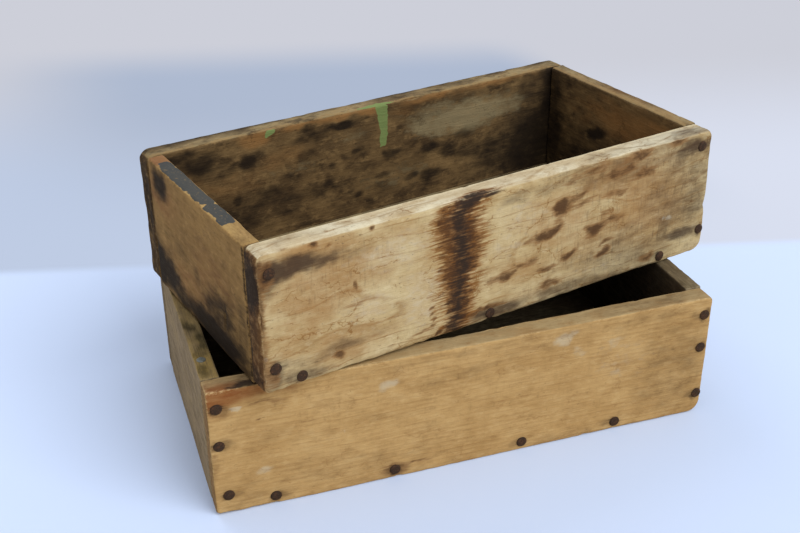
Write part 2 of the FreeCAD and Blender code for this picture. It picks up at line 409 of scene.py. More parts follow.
@dataclass(frozen=True)
class Stand:
    """Where a box stands in the row frame: turned about Z, then moved."""

    turn: float
    shift: Triple

    def matrix(self) -> Matrix:
        """Takes a place in the box's own frame to the row frame, both in millimetres."""
        return Matrix.Translation(self.shift) @ turned(self.turn, "Z")

    def place(self, points: Array) -> Array:
        """Takes points in millimetres in the box's own frame to metres in the row frame."""
        matrix = np.array(self.matrix())
        return (points @ matrix[:3, :3].T + matrix[:3, 3]) * MM


@dataclass(frozen=True)
class Pine:
    """Bare pine, sawn by hand and planed. Early wood is pale and soft and the late wood of each
    ring darker, so rings show as lines; use has left it matt, grimy and rubbed at the arrises."""

    name: str
    slot: str
    early: str
    late: str
    cloud: str
    fibre: str
    # also the colour of painted shade where smudge marks darken the inside of a box
    grime_and_shade: str
    bare: str
    # also the colour of painted sheen on the bottom inside the upper box
    pale: str
    end_grain: str
    rim: str
    warm: str = "#A4562A"
    spot: str = "#4E3521"
    spot_edge: str = "#86643F"
    scorch: str = "#452B19"
    scorch_edge: str = "#7E4E27"
    # also the colour of painted shade inside the lower box and in seams
    char: str = "#221B17"
    paint: str = "#3E4140"
    ring_spacing: float = 4.5
    ring_strength: float = 0.5
    ring_from: float = 0.6
    ring_peak: float = 0.92
    ring_wander: float = 24.0
    ring_relief: float = 0.35
    wander_scale: Triple = (0.011, 0.03, 0.03)
    pith: Pair = (24.0, 12.0)
    cloud_strength: float = 0.6
    blotch_strength: float = 0.3
    fibre_strength: float = 0.5
    fleck_strength: float = 0.6
    grime_strength: float = 0.8
    saw_strength: float = 0.0
    crack_strength: float = 0.4
    crack_cell: Pair = (34.0, 12.0)
    crack_bend: Triple = (14.0, 9.0, 9.0)
    relief: float = 0.35
    relief_strength: float = 0.55
    roughness: float = 0.82
    roughness_swing: float = 0.08
    gloss: float = 0.12

    def grain_frame(self, shader: Shader, board: "Board", stand: Stand) -> tuple[Socket, Socket]:
        """Coordinates in millimetres about the board's middle, its grain along X.

        Args:
            shader: the material's shader.
            board: the board that is dressed.
            stand: where its box stands.

        Returns:
            The plain coordinates, and the same moved aside by the board's own seed.
        """
        about_z, about_x = board.grain.value
        middle = Vector([(low + high) / 2 for low, high in zip(board.low, board.high)])
        lay = turned(about_x, "X") @ turned(about_z, "Z")
        into = lay @ Matrix.Translation(-middle) @ stand.matrix().inverted()
        links = {
            "Vector": shader.place(),
            "Location": into.to_translation(),
            "Rotation": into.to_euler("XYZ"),
            "Scale": (1 / MM, 1 / MM, 1 / MM),
        }
        plain = shader.add("ShaderNodeMapping", links).outputs[0]
        return plain, shader.vector("ADD", plain, Vector(SEED_SHIFT) * board.seed)

    def rings(self, shader: Shader, plain: Socket, moved: Socket) -> Socket:
        """Growth rings: distance from a wandering pith over the ring spacing, its whole part
        dropped. Each ring darkens slowly to its late wood and ends sharply.

        Args:
            shader: the material's shader.
            plain: coordinates about the board's middle.
            moved: the same moved aside, for the wander.

        Returns:
            0 in early wood to 1 in late wood.
        """
        shrunk = shader.vector("MULTIPLY", moved, self.wander_scale)
        wander = shader.mottle(shrunk, 1.0, 2.0, 0.45)[1]
        width, half = self.ring_wander, self.ring_wander / 2
        middle = (0.0, self.pith[0] - half, self.pith[1] - half)
        offset = shader.vector("MULTIPLY_ADD", wander, (0.0, width, width), middle)
        flat = shader.vector("MULTIPLY_ADD", plain, (0.0, 1.0, 1.0), offset)
        far = shader.add("ShaderNodeVectorMath", {0: flat}, operation="LENGTH").outputs["Value"]
        part = shader.calc("FRACT", shader.calc("DIVIDE", far, self.ring_spacing))
        slow = shader.cut(part, self.ring_from, self.ring_peak)
        return shader.both(slow, shader.cut(part, 1.0, self.ring_peak))

    def cracks(self, shader: Shader, place: Socket, where: Socket) -> Socket:
        """Thin drying cracks: the borders of bent cells, long with the grain, kept in patches.

        Args:
            shader: the material's shader.
            place: coordinates in millimetres.
            where: noise that says where they are kept.

        Returns:
            1 on a crack and 0 off it.
        """
        along, wide = (1 / size for size in self.crack_cell)
        bend = shader.mottle(place, 0.13, 3.0, 0.6)[1]
        bent = shader.vector("MULTIPLY_ADD", bend, self.crack_bend, place)
        cells = shader.vector("MULTIPLY", bent, (along, wide, wide))
        links = {"Vector": cells, "Scale": 1.0}
        border = shader.add("ShaderNodeTexVoronoi", links, feature="DISTANCE_TO_EDGE").outputs[0]
        return shader.both(shader.cut(border, 0.028, 0.0), shader.cut(where, 0.47, 0.6))

    def layers(self, shader: Shader, moved: Socket, rings: Socket) -> tuple[list, Socket, Socket]:
        """What is laid over the early wood, one layer after the other.

        Args:
            shader: the material's shader.
            moved: coordinates in millimetres, with the board's own seed.
            rings: the growth rings.

        Returns:
            The layers, each a colour, how much of it at most and its mask; then the noise for
            the relief and the one for the gloss.
        """
        streaks, mark, cut, both = shader.streaks, shader.mark, shader.cut, shader.both
        # fibres are 0.1 mm wide on real pine; drawn at about 1 mm so that they show
        fibres = streaks(moved, 20.0, 0.9, 4.0)
        fine = streaks(moved, 4.5, 0.55, 3.0)
        flecks = streaks(moved, 3.4, 1.1, 2.0)
        clouds = streaks(moved, 44.0, 24.0, 6.0)
        blotches = streaks(moved, 15.0, 8.0, 7.0)
        patches = streaks(moved, 6.5, 4.0, 6.0)
        specks = streaks(moved, 1.7, 1.3, 3.0)
        fray = streaks(moved, 12.0, 1.1, 4.0)
        smear = streaks(moved, 15.0, 5.5, 7.0)
        across = streaks(moved, 1.5, 9.0, 5.0)
        # half fine streaks and half mottling, so that a burnt edge is neither comb nor cloud
        fringe = both(shader.calc("ADD", fray, patches), 0.5)
        scuffed = both(cut(across, 0.48, 0.72), mark(Trace.SCUFF, patches, 1.6, 0.2, 1.0))
        cloudy, fibrous, flecked = self.cloud_strength, self.fibre_strength, self.fleck_strength
        made = [
            (self.end_grain, 0.9, mark(Trace.END_GRAIN, patches, 1.6, 0.2, 1.1)),
            (self.rim, 0.85, mark(Trace.RIM, patches, 1.0, 0.2, 0.9)),
            (self.late, self.ring_strength, both(rings, cut(blotches, 0.34, 0.54))),
            (self.cloud, cloudy, cut(clouds, 0.42, 0.62)),
            (self.bare, 0.5 * cloudy, cut(clouds, 0.46, 0.3)),
            (self.cloud, 0.7 * cloudy, cut(blotches, 0.48, 0.64)),
            (self.grime_and_shade, self.blotch_strength, cut(blotches, 0.54, 0.74)),
            (self.fibre, 0.6 * cloudy, cut(patches, 0.52, 0.7)),
            (self.bare, 0.6 * cloudy, cut(patches, 0.48, 0.32)),
            (self.fibre, fibrous, cut(fibres, 0.5, 0.72)),
            (self.bare, 0.6 * fibrous, cut(fibres, 0.5, 0.3)),
            (self.fibre, 0.6 * fibrous, cut(fine, 0.5, 0.7)),
            (self.fibre, self.saw_strength, cut(across, 0.5, 0.68)),
            (self.warm, 0.8, mark(Trace.WARM, smear, 1.1, 0.1, 1.1)),
            # pale wear, and painted sheen where a pale mark stands for it
            (self.pale, 0.6, mark(Trace.PALE, patches, 1.4, 0.2, 1.0)),
            (self.grime_and_shade, flecked, cut(flecks, 0.66, 0.74)),
            (self.grime_and_shade, 0.7 * flecked, cut(specks, 0.68, 0.76)),
            (self.grime_and_shade, 0.3, scuffed),
            (self.late, self.crack_strength, self.cracks(shader, moved, blotches)),
            (self.bare, 0.7, mark(Trace.BARE, specks, 1.5, 0.25, 0.9)),
            # grime, and painted shade where the smudge marks stand for shade
            (self.grime_and_shade, self.grime_strength, mark(Trace.SMUDGE, smear, 1.3, 0.12, 1.3)),
            (self.grime_and_shade, 0.4, mark(Trace.SMUDGE, fray, 2.2, 0.6, 1.4)),
            (self.grime_and_shade, 0.4, mark(Trace.SMUDGE, patches, 2.2, 0.6, 1.5)),
            (self.spot_edge, 0.7, mark(Trace.SPOT, fray, 1.8, 0.12, 0.85)),
            (self.spot, 0.75, mark(Trace.SPOT, patches, 2.2, 0.5, 1.4)),
            (self.spot, 0.45, mark(Trace.SPOT, fine, 2.6, 0.7, 1.5)),
            (self.scorch_edge, 0.8, mark(Trace.SCORCH, fray, 2.0, 0.3, 0.8)),
            (self.scorch, 0.85, mark(Trace.SCORCH, fringe, 2.4, 0.55, 1.05)),
            (self.scorch_edge, 0.65, mark(Trace.SCORCH, fine, 2.8, 1.05, 1.45)),
            # char, and painted shade where the char marks stand for shade
            (self.char, 0.9, mark(Trace.CHAR, fringe, 2.3, 0.25, 1.1)),
            (self.paint, 0.95, mark(Trace.PAINT, patches, 1.1, 0.4, 0.52)),
            (self.bare, 0.35, mark(Trace.PAINT, specks, 2.0, 1.1, 1.5)),
        ]
        return made, shader.calc("ADD", fibres, fine), patches

    def dress(self, board: "Board", stand: Stand) -> bpy.types.Material:
        """Builds the board's material.

        Args:
            board: the board that is dressed.
            stand: where its box stands.

        Returns:
            The material.
        """
        material, shader = new_material(f"{self.name}, {board.name}")
        plain, moved = self.grain_frame(shader, board, stand)
        rings = self.rings(shader, plain, moved)
        layers, lift, patches = self.layers(shader, moved, rings)
        colour = linear(self.early)
        for tone, most, mask in layers:
            if most > 0.0:
                colour = shader.mix(shader.both(mask, most), colour, linear(tone))
        height = shader.calc("MULTIPLY_ADD", rings, self.ring_relief, lift)
        links = {
            "Strength": self.relief_strength, "Distance": self.relief * MM, "Height": height,
        }
        smooth, rough = (self.roughness + way * self.roughness_swing for way in (-1, 1))
        shader.surface({
            "Base Color": colour,
            "Roughness": shader.scaled(patches, (0.3, smooth), (0.7, rough)),
            "IOR": 1.5,
            "Specular IOR Level": self.gloss,
            "Normal": shader.add("ShaderNodeBump", links).outputs[0],
        })
        return material


@dataclass(frozen=True)
class DrawnWire:
    """Drawn iron wire or sheet, upset into a head by a die, now rusted dark or dulled: an uneven
    brown-black skin with a few rubbed, slightly bright places."""

    name: str
    skin: str
    rust: str
    rubbed: str
    metallic: float
    roughness: float
    gloss: float = 0.15

    def dress(self) -> bpy.types.Material:
        """Builds the material."""
        material, shader = new_material(self.name)
        place = shader.place()
        # scale bloom of about 1.5 mm and pits of about 0.5 mm
        bloom = shader.mottle(place, 650.0, 4.0, 0.65)[0]
        pits = shader.mottle(place, 2000.0, 2.0, 0.5)[0]
        rusted = shader.scaled(bloom, (0.48, 0.0), (0.66, 0.85))
        rubbed = shader.scaled(pits, (0.6, 0.0), (0.72, 0.55))
        colour = shader.mix(rusted, linear(self.skin), linear(self.rust))
        relief = {"Strength": 0.6, "Distance": 0.2 * MM, "Height": bloom}
        shader.surface({
            "Base Color": shader.mix(rubbed, colour, linear(self.rubbed)),
            "Roughness": self.roughness,
            "Metallic": self.metallic,
            "Specular IOR Level": self.gloss,
            "Normal": shader.add("ShaderNodeBump", relief).outputs[0],
        })
        return material


RUSTED_WIRE = DrawnWire("rusted nail wire", "#35271D", "#523624", "#645242", 0.0, 0.8)
DULL_ZINC = DrawnWire("dull zinc tack", "#6E7068", "#56584F", "#8D8F88", 0.4, 0.5)

BLEACHED = Pine(
    name="bleached pine", slot="bleached_pine", early="#BFAA7F", late="#80592C", cloud="#A58656",
    fibre="#846845", grime_and_shade="#403025", bare="#D3C39D", pale="#D3C8AF", end_grain="#4F3822",
    rim="#D8CEB1", warm="#976E40", spot="#462E1C", spot_edge="#835D36", scorch="#452A18",
    scorch_edge="#80501F", char="#2A221D", ring_spacing=7.5, ring_strength=0.6, ring_from=0.84,
    pith=(26.0, 6.0), cloud_strength=0.55, blotch_strength=0.16, fibre_strength=0.24,
    fleck_strength=0.5, saw_strength=0.1, crack_strength=0.75, roughness=0.84,
)
HONEY = Pine(
    name="honey pine", slot="honey_pine", early="#BA9763", late="#8E693F", cloud="#9F7A48",
    fibre="#81613B", grime_and_shade="#533D26", bare="#CDAF7D", pale="#BFB298", end_grain="#664B2E",
    rim="#A38F68", warm="#76370F", ring_spacing=3.1, ring_strength=0.22, ring_from=0.3,
    ring_wander=9.0, pith=(8.0, 74.0), cloud_strength=0.4, blotch_strength=0.08,
    fibre_strength=0.25, fleck_strength=0.4, saw_strength=0.05, roughness=0.78,
)
DRIFTWOOD = Pine(
    name="driftwood-grey pine", slot="driftwood_pine", early="#94826A", late="#6E5F4A",
    cloud="#7F6E55", fibre="#5A4C39", grime_and_shade="#3A3024", bare="#A1916F", pale="#B7AA90",
    end_grain="#5E503D", rim="#56492F", ring_spacing=3.4, ring_strength=0.3, ring_from=0.4,
    ring_wander=8.0, pith=(10.0, 60.0), cloud_strength=0.5, blotch_strength=0.2, fibre_strength=0.5,
    fleck_strength=0.5, roughness=0.86,
)
MOSSY = replace(
    DRIFTWOOD, name="driftwood-grey pine with a mossy rim", rim="#967A35", grime_and_shade="#2B2614",
    bare="#A8905C",
)
OLIVE = Pine(
    name="olive-tan pine", slot="dark_stained_pine", early="#957547", late="#6E5430",
    cloud="#7C5F39", fibre="#5E4528", grime_and_shade="#20170F", bare="#B9935B", pale="#D9C79B",
    end_grain="#3C2E22", rim="#B0905A", warm="#7F5435", ring_spacing=5.0, ring_strength=0.15,
    pith=(36.0, 20.0), cloud_strength=0.5, blotch_strength=0.25, fibre_strength=0.2,
    fleck_strength=0.5, grime_strength=0.95, roughness=0.8,
)
UMBER = Pine(
    name="dark-stained pine", slot="dark_stained_pine", early="#6B5435", late="#42301D",
    cloud="#473622", fibre="#302317", grime_and_shade="#1C150F", bare="#93764C", pale="#9C8D69",
    end_grain="#3A2A1C", rim="#9C8861", warm="#946A3C", paint="#75864F", ring_spacing=5.0,
    ring_strength=0.2, pith=(28.0, 16.0), cloud_strength=0.7, blotch_strength=0.7,
    fibre_strength=0.25, fleck_strength=0.5, roughness=0.86,
)


def samples(low: float, high: float, step: float, reach: float) -> Array:
    """Places along an edge: an even run between two fans that crowd towards the ends, whose
    distance from the end is the reach times 1 - cos of even angles up to a right angle.

    Args:
        low: the edge's start.
        high: its end.
        step: the distance between places in the run, about.
        reach: how far each fan reaches.

    Returns:
        The places in rising order.
    """
    fan = reach * (1 - np.cos(np.linspace(0.0, math.pi / 2, FAN_PLACES)))
    count = max(int(round((high - low - 2 * reach) / step)), 2)
    run = np.linspace(low + reach, high - reach, count + 1)[1:-1]
    return np.concatenate([low + fan, run, (high - fan)[::-1]])


def lattice_shell(axes: list[Array]) -> tuple[Array, Array]:
    """The closed skin of a block as six two-parameter grids, one for each side, whose shared
    edges are joined by their whole-number places in the lattice.

    Args:
        axes: the places along x, y and z.

    Returns:
        Points in millimetres, and quads that point outwards.
    """
    sizes = [len(axis) for axis in axes]
    quads = []
    for fixed, upper in product(range(3), (False, True)):
        first, second = [axis for axis in range(3) if axis != fixed]
        i, j = np.meshgrid(np.arange(sizes[first]), np.arange(sizes[second]), indexing="ij")
        index = np.empty((*i.shape, 3), int)
        index[..., first] = i
        index[..., second] = j
        index[..., fixed] = sizes[fixed] - 1 if upper else 0
        flat = (index[..., 0] * sizes[1] + index[..., 1]) * sizes[2] + index[..., 2]
        ring = [flat[:-1, :-1], flat[1:, :-1], flat[1:, 1:], flat[:-1, 1:]]
        if upper == (fixed == 1):
            ring.reverse()
        quads.append(np.stack(ring, axis=-1).reshape(-1, 4))
    used, joined = np.unique(np.concatenate(quads), return_inverse=True)
    i, rest = np.divmod(used, sizes[1] * sizes[2])
    j, k = np.divmod(rest, sizes[2])
    return np.stack([axes[0][i], axes[1][j], axes[2][k]], axis=-1), joined.reshape(-1, 4)


def vertex_normals(points: Array, quads: Array) -> Array:
    """Mean of the normals of the quads about each point: the cross products of diagonals."""
    corners = points[quads]
    across = np.cross(corners[:, 2] - corners[:, 0], corners[:, 3] - corners[:, 1])
    total = np.zeros_like(points)
    for corner in range(4):
        np.add.at(total, quads[:, corner], across)
    return total / np.maximum(np.linalg.norm(total, axis=1, keepdims=True), TINY)


def new_object(name: str, data: bpy.types.ID) -> bpy.types.Object:
    """A new object in the scene that shows the given data."""
    made = bpy.data.objects.new(name, data)
    bpy.context.scene.collection.objects.link(made)
    return made


def mesh_object(name: str, points: Array, faces: Array) -> bpy.types.Object:
    """Puts points in metres and faces into a new smooth mesh object at the origin, its poles
    closed and its faces turned outwards.

    Args:
        name: the piece's name.
        points: one row for each vertex.
        faces: vertex numbers of each quad.

    Returns:
        The object.
    """
    mesh = bpy.data.meshes.new(name)
    mesh.from_pydata(points.tolist(), [], faces.tolist())
    work = bmesh.new()
    work.from_mesh(mesh)
    bmesh.ops.remove_doubles(work, verts=work.verts, dist=WELD)
    bmesh.ops.recalc_face_normals(work, faces=work.faces)
    work.to_mesh(mesh)
    work.free()
    mesh.shade_smooth()
    return new_object(name, mesh)


@dataclass(frozen=True)
class Board:
    """One board of a box, as a block whose arrises and corners wear has rounded.

    Sizes are in millimetres. The arris is the radius of the edges, of which the back ones have
    the inner share, and nibble is how unevenly it wanders. The corners are the face's four radii
    from the lower left round. Foot, lean and dish are what sawn says of them, bare_arris how far
    the edges are rubbed, end_sides the faces that show end grain, and step the mesh's."""

    name: str
    finish: Pine
    low: Triple
    high: Triple
    grain: Grain
    seed: int
    marks: tuple = ()
    dents: tuple = ()
    corners: tuple[float, float, float, float] | None = None
    foot: float = 0.0
    lean: float = 0.0
    dish: float = 0.0
    arris: float = 1.6
    inner: float = 1.0
    nibble: float = 0.5
    bare_arris: float = 0.6
    end_sides: tuple[Side, ...] = (Side.LEFT, Side.RIGHT)
    step: float = 1.25

    def rounded(self, points: Array) -> Array:
        """Rounds the arrises: what a point stands out from the block's core is scaled so that
        its largest part becomes its length. The radius wanders along each arris with the noise,
        and is the inner share of itself towards the back. Where the face's corners have radii
        of their own, the arrises along y are left to them.

        Args:
            points: the lattice on the plain block.

        Returns:
            The points moved onto the rounded block.
        """
        wander = 0.6 * noise(points, WANDER_CELL, self.seed)
        wander += 0.4 * noise(points, NIBBLE_CELL, self.seed + 1)
        chips = rise(noise(points, CHIP_CELL, self.seed + 2), 0.55, 0.9)
        radius = self.arris * (1 + self.nibble * (wander + 1.6 * chips))
        radius *= np.where(points[:, 1] > (self.low[1] + self.high[1]) / 2, self.inner, 1.0)
        thinnest = min(high - low for low, high in zip(self.low, self.high))
        radius = np.clip(radius, LEAST_ARRIS, MOST_ARRIS * thinnest)[:, None]
        core = np.clip(points, np.array(self.low) + radius, np.array(self.high) - radius)
        out = points - core
        longest = np.abs(out).max(axis=1)
        if self.corners is None:
            length = np.linalg.norm(out, axis=1)
        else:
            length = np.hypot(np.abs(out[:, [0, 2]]).max(axis=1), out[:, 1])
        return core + out * (longest / np.maximum(length, TINY))[:, None]

    def cornered(self, points: Array) -> Array:
        """Rounds the four corners of the board's face, each by its own radius: the square about
        a corner is drawn in to a quarter circle by the same scaling, in x and z alone.

        Args:
            points: the block with its arrises rounded.

        Returns:
            The points with the corners rounded too.
        """
        if self.corners is None:
            return points
        result = points.copy()
        lower_left, lower_right, upper_right, upper_left = self.corners
        for radius, x_way, z_way in (
            (lower_left, -1, -1), (lower_right, 1, -1), (upper_right, 1, 1), (upper_left, -1, 1),
        ):
            core_x = (self.high[0] if x_way > 0 else self.low[0]) - x_way * radius
            core_z = (self.high[2] if z_way > 0 else self.low[2]) - z_way * radius
            out_x = (points[:, 0] - core_x) * x_way
            out_z = (points[:, 2] - core_z) * z_way
            inside = (out_x > 0) & (out_z > 0)
            scale = np.maximum(out_x, out_z) / np.maximum(np.hypot(out_x, out_z), TINY)
            result[inside, 0] = core_x + x_way * (out_x * scale)[inside]
            result[inside, 2] = core_z + z_way * (out_z * scale)[inside]
        return result

    def sawn(self, points: Array) -> Array:
        """Saws the right end out of square, longer by the foot at its foot and leaning back from
        there, and sinks the rim by the dish, both fading into the board.

        Args:
            points: the rounded board.

        Returns:
            The points moved.
        """
        result = points.copy()
        share = (points[:, 2] - self.low[2]) / (self.high[2] - self.low[2])
        near_end = rise(points[:, 0], self.high[0] - LEAN_ZONE, self.high[0])
        result[:, 0] += (self.foot - self.lean * share) * near_end
        middle = (self.low[0] + self.high[0]) / 2
        along = (points[:, 0] - middle) / (self.high[0] - middle)
        result[:, 2] -= self.dish * (1 - along**2) ** 2 * rise(share, DISH_FROM, 1.0)
        return result

    def worn(self, points: Array, normals: Array) -> Array:
        """Wood lost to weather and use, in millimetres: soft wood between the fibres, slow waves
        left by the plane, and the dents.

        Args:
            points: the shaped board.
            normals: its outward normals.

        Returns:
            The loss at each point.
        """
        cell = (FIBRE_LONG, FIBRE_WIDE, FIBRE_WIDE)
        if self.grain is Grain.ACROSS:
            cell = (FIBRE_WIDE, FIBRE_LONG, FIBRE_WIDE)
        loss = 0.12 + 0.07 * noise(points, cell, self.seed + 3)
        loss += 0.16 * (1 + noise(points, PLANE_CELL, self.seed + 4))
        loss += 0.35 * rise(noise(points, TORN_CELL, self.seed + 5), 0.72, 0.95)
        for dent in self.dents:
            loss += dent.hollow(points, normals)
        return loss

    def edge_closeness(self, points: Array) -> Array:
        """1 on an arris, falling to 0 three millimetres from it: the second smallest of a
        point's distances from the block's sides over those three, taken from one.

        Args:
            points: the lattice on the plain block.

        Returns:
            The closeness at each point.
        """
        below = points - np.array(self.low)
        above = np.array(self.high) - points
        near = np.sort(np.minimum(below, above), axis=1)[:, 1]
        return np.clip(1 - near / RUB_ZONE, 0.0, 1.0)

    def fields(self, plain: Array, points: Array, normals: Array) -> dict[Trace, Array]:
        """What use has left at each point: the strongest mark of each kind, with the arrises
        rubbed bare in stretches and the sawn ends as end grain.

        Args:
            plain: the lattice on the plain block.
            points: the shaped board.
            normals: its outward normals.

        Returns:
            One field for each trace that the board has.
        """
        bent = points + sum(
            aside * wobble(points, cell, self.seed + more) for aside, cell, more in BENDS
        )
        found = {}
        for mark in self.marks:
            before = found.get(mark.trace, 0.0)
            found[mark.trace] = np.maximum(before, mark.field(bent, normals))
        found[Trace.RIM] = facing(normals, Side.TOP)
        stretch = 0.75 + 0.45 * noise(points, RUB_CELL, self.seed + 6)
        rubbed = self.bare_arris * self.edge_closeness(plain) * stretch
        found[Trace.BARE] = np.maximum(found.get(Trace.BARE, 0.0), rubbed)
        for side in self.end_sides:
            ends = facing(normals, side)
            found[Trace.END_GRAIN] = np.maximum(found.get(Trace.END_GRAIN, 0.0), ends)
        return found

    def build(self, name: str, stand: Stand, body: str) -> bpy.types.Object:
        """Makes the board in its place and dresses it.

        Args:
            name: the piece's name, after which its node is called.
            stand: where the box stands.
            body: the body it rides on.

        Returns:
            The board.
        """
        axes = [
            samples(low, high, self.step, FAN_REACH) for low, high in zip(self.low, self.high)
        ]
        plain, quads = lattice_shell(axes)
        points = self.sawn(self.cornered(self.rounded(plain)))
        normals = vertex_normals(points, quads)
        points -= normals * np.maximum(self.worn(points, normals), 0.0)[:, None]
        made = mesh_object(name, stand.place(points), quads)
        for trace, values in self.fields(plain, points, normals).items():
            layer = made.data.attributes.new(trace.value, "FLOAT", "POINT")
            layer.data.foreach_set("value", values.astype(np.float32))
        made.data.materials.append(self.finish.dress(self, stand))
        finish_piece(made, body, name.removesuffix("_wood"), self.finish.slot)
        return made


def finish_piece(made: bpy.types.Object, body: str, node: str, slot: str) -> None:
    """Joins a finished piece to its body, hides the node it stands for, and logs it.

    Args:
        made: the piece.
        body: the body it rides on.
        node: the node it stands for.
        slot: not used.
    """
    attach(made, body)
    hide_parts(node)
    LOG.info("%s: %d faces", made.name, len(made.data.polygons))


@dataclass(frozen=True)
class NailShape:
    """A nail about its own axis: rings given as (radius, height), from the crown to the point,
    the board's face at height 0. Between the two heights of head_zone below the crown the
    battering rises from nothing to its full strength."""

    rings: tuple[Pair, ...]
    batter: float
    around: int = 28
    head_zone: Pair = (3.0, 1.0)
    swell_cell: float = 2.4
    dent_cell: Triple = (1.7, 1.7, 9.0)
    dent_depth: float = 1.6
    slope_depth: float = 1.2

    def points(self, seed: int) -> Array:
        """The profile carried round the axis. The head's outline and crown are battered by
        noise, less towards the shank, so that no two nails are quite alike.

        Args:
            seed: picks the battering.

        Returns:
            Points on a grid of rings by places round the axis.
        """
        radius, height = np.array(self.rings).T
        turn = np.linspace(0.0, 2 * math.pi, self.around, endpoint=False)
        grid = np.stack(
            [radius[:, None] * np.cos(turn), radius[:, None] * np.sin(turn),
             np.broadcast_to(height[:, None], (len(height), len(turn)))],
            axis=-1,
        )
        from_crown = height - height.max()
        head = rise(from_crown, -self.head_zone[0], -self.head_zone[1])[:, None]
        swell = noise(grid * [1, 1, 0], self.swell_cell, seed)
        grid[..., :2] *= (1 - self.batter * 0.5 * head * (1 + swell))[..., None]
        dents = 1 + noise(grid, self.dent_cell, seed + 1)
        tilt = noise(np.array([[seed * 7.3, 0.5, 0.5]]), 1.0, seed)[0]
        slope = 0.5 * (1 + tilt * grid[..., 0] / radius.max())
        grid[..., 2] -= head * self.batter * (self.dent_depth * dents + self.slope_depth * slope)
        return grid

    def quads(self, rings: int) -> Array:
        """Quads between neighbouring rings, the last place joined to the first.

        Args:
            rings: how many rings the grid has.

        Returns:
            The four vertex numbers of each quad.
        """
        ring = np.arange(rings - 1)[:, None] * self.around
        place = np.arange(self.around)[None, :]
        after = (place + 1) % self.around
        parts = [ring + place, ring + after, ring + self.around + after, ring + self.around + place]
        return np.stack(parts, axis=-1).reshape(-1, 4)


WIRE_NAIL = NailShape(
    rings=(
        (0.0, 0.5), (0.9, 0.49), (1.7, 0.45), (2.4, 0.36), (2.9, 0.2), (3.2, 0.0), (3.3, -0.25),
        (3.28, -0.6), (3.1, -0.79), (1.6, -0.8), (1.35, -1.2), (1.35, -20.0), (1.35, -34.0),
        (0.7, -36.0), (0.0, -38.0),
    ),
    batter=0.07,
)
TACK = NailShape(
    rings=(
        (0.0, 0.15), (1.0, 0.14), (1.9, 0.1), (2.4, 0.0), (2.6, -0.15), (2.58, -0.6), (2.3, -0.74),
        (1.1, -0.75), (1.0, -1.0), (1.0, -5.5), (0.5, -6.8), (0.0, -8.0),
    ),
    batter=0.04,
)


@dataclass(frozen=True)
class NailGroup:
    """The nails of one joint: where their heads stand and which way they face."""

    node: str
    shape: NailShape
    places: tuple[Triple, ...]
    side: Side
    slot: str
    seed: int

    def build(self, stand: Stand, body: str, dressed: bpy.types.Material) -> bpy.types.Object:
        """Makes the group's nails in one mesh.

        Args:
            stand: where the box stands.
            body: the body they ride on.
            dressed: their material.

        Returns:
            The piece.
        """
        normal = np.array(self.side.value[0], float)
        first = np.eye(3)[self.side.value[1]]
        second = np.eye(3)[self.side.value[2]]
        points, faces = [], []
        for number, place in enumerate(self.places):
            grid = self.shape.points(self.seed + number)
            laid = grid @ np.stack([first, second, normal])
            faces.append(self.shape.quads(len(grid)) + sum(len(p) for p in points))
            points.append(laid.reshape(-1, 3) + np.array(place))
        made = mesh_object(
            f"{self.node}_iron", stand.place(np.concatenate(points)), np.concatenate(faces)
        )
        made.data.materials.append(dressed)
        finish_piece(made, body, self.node, self.slot)
        return made


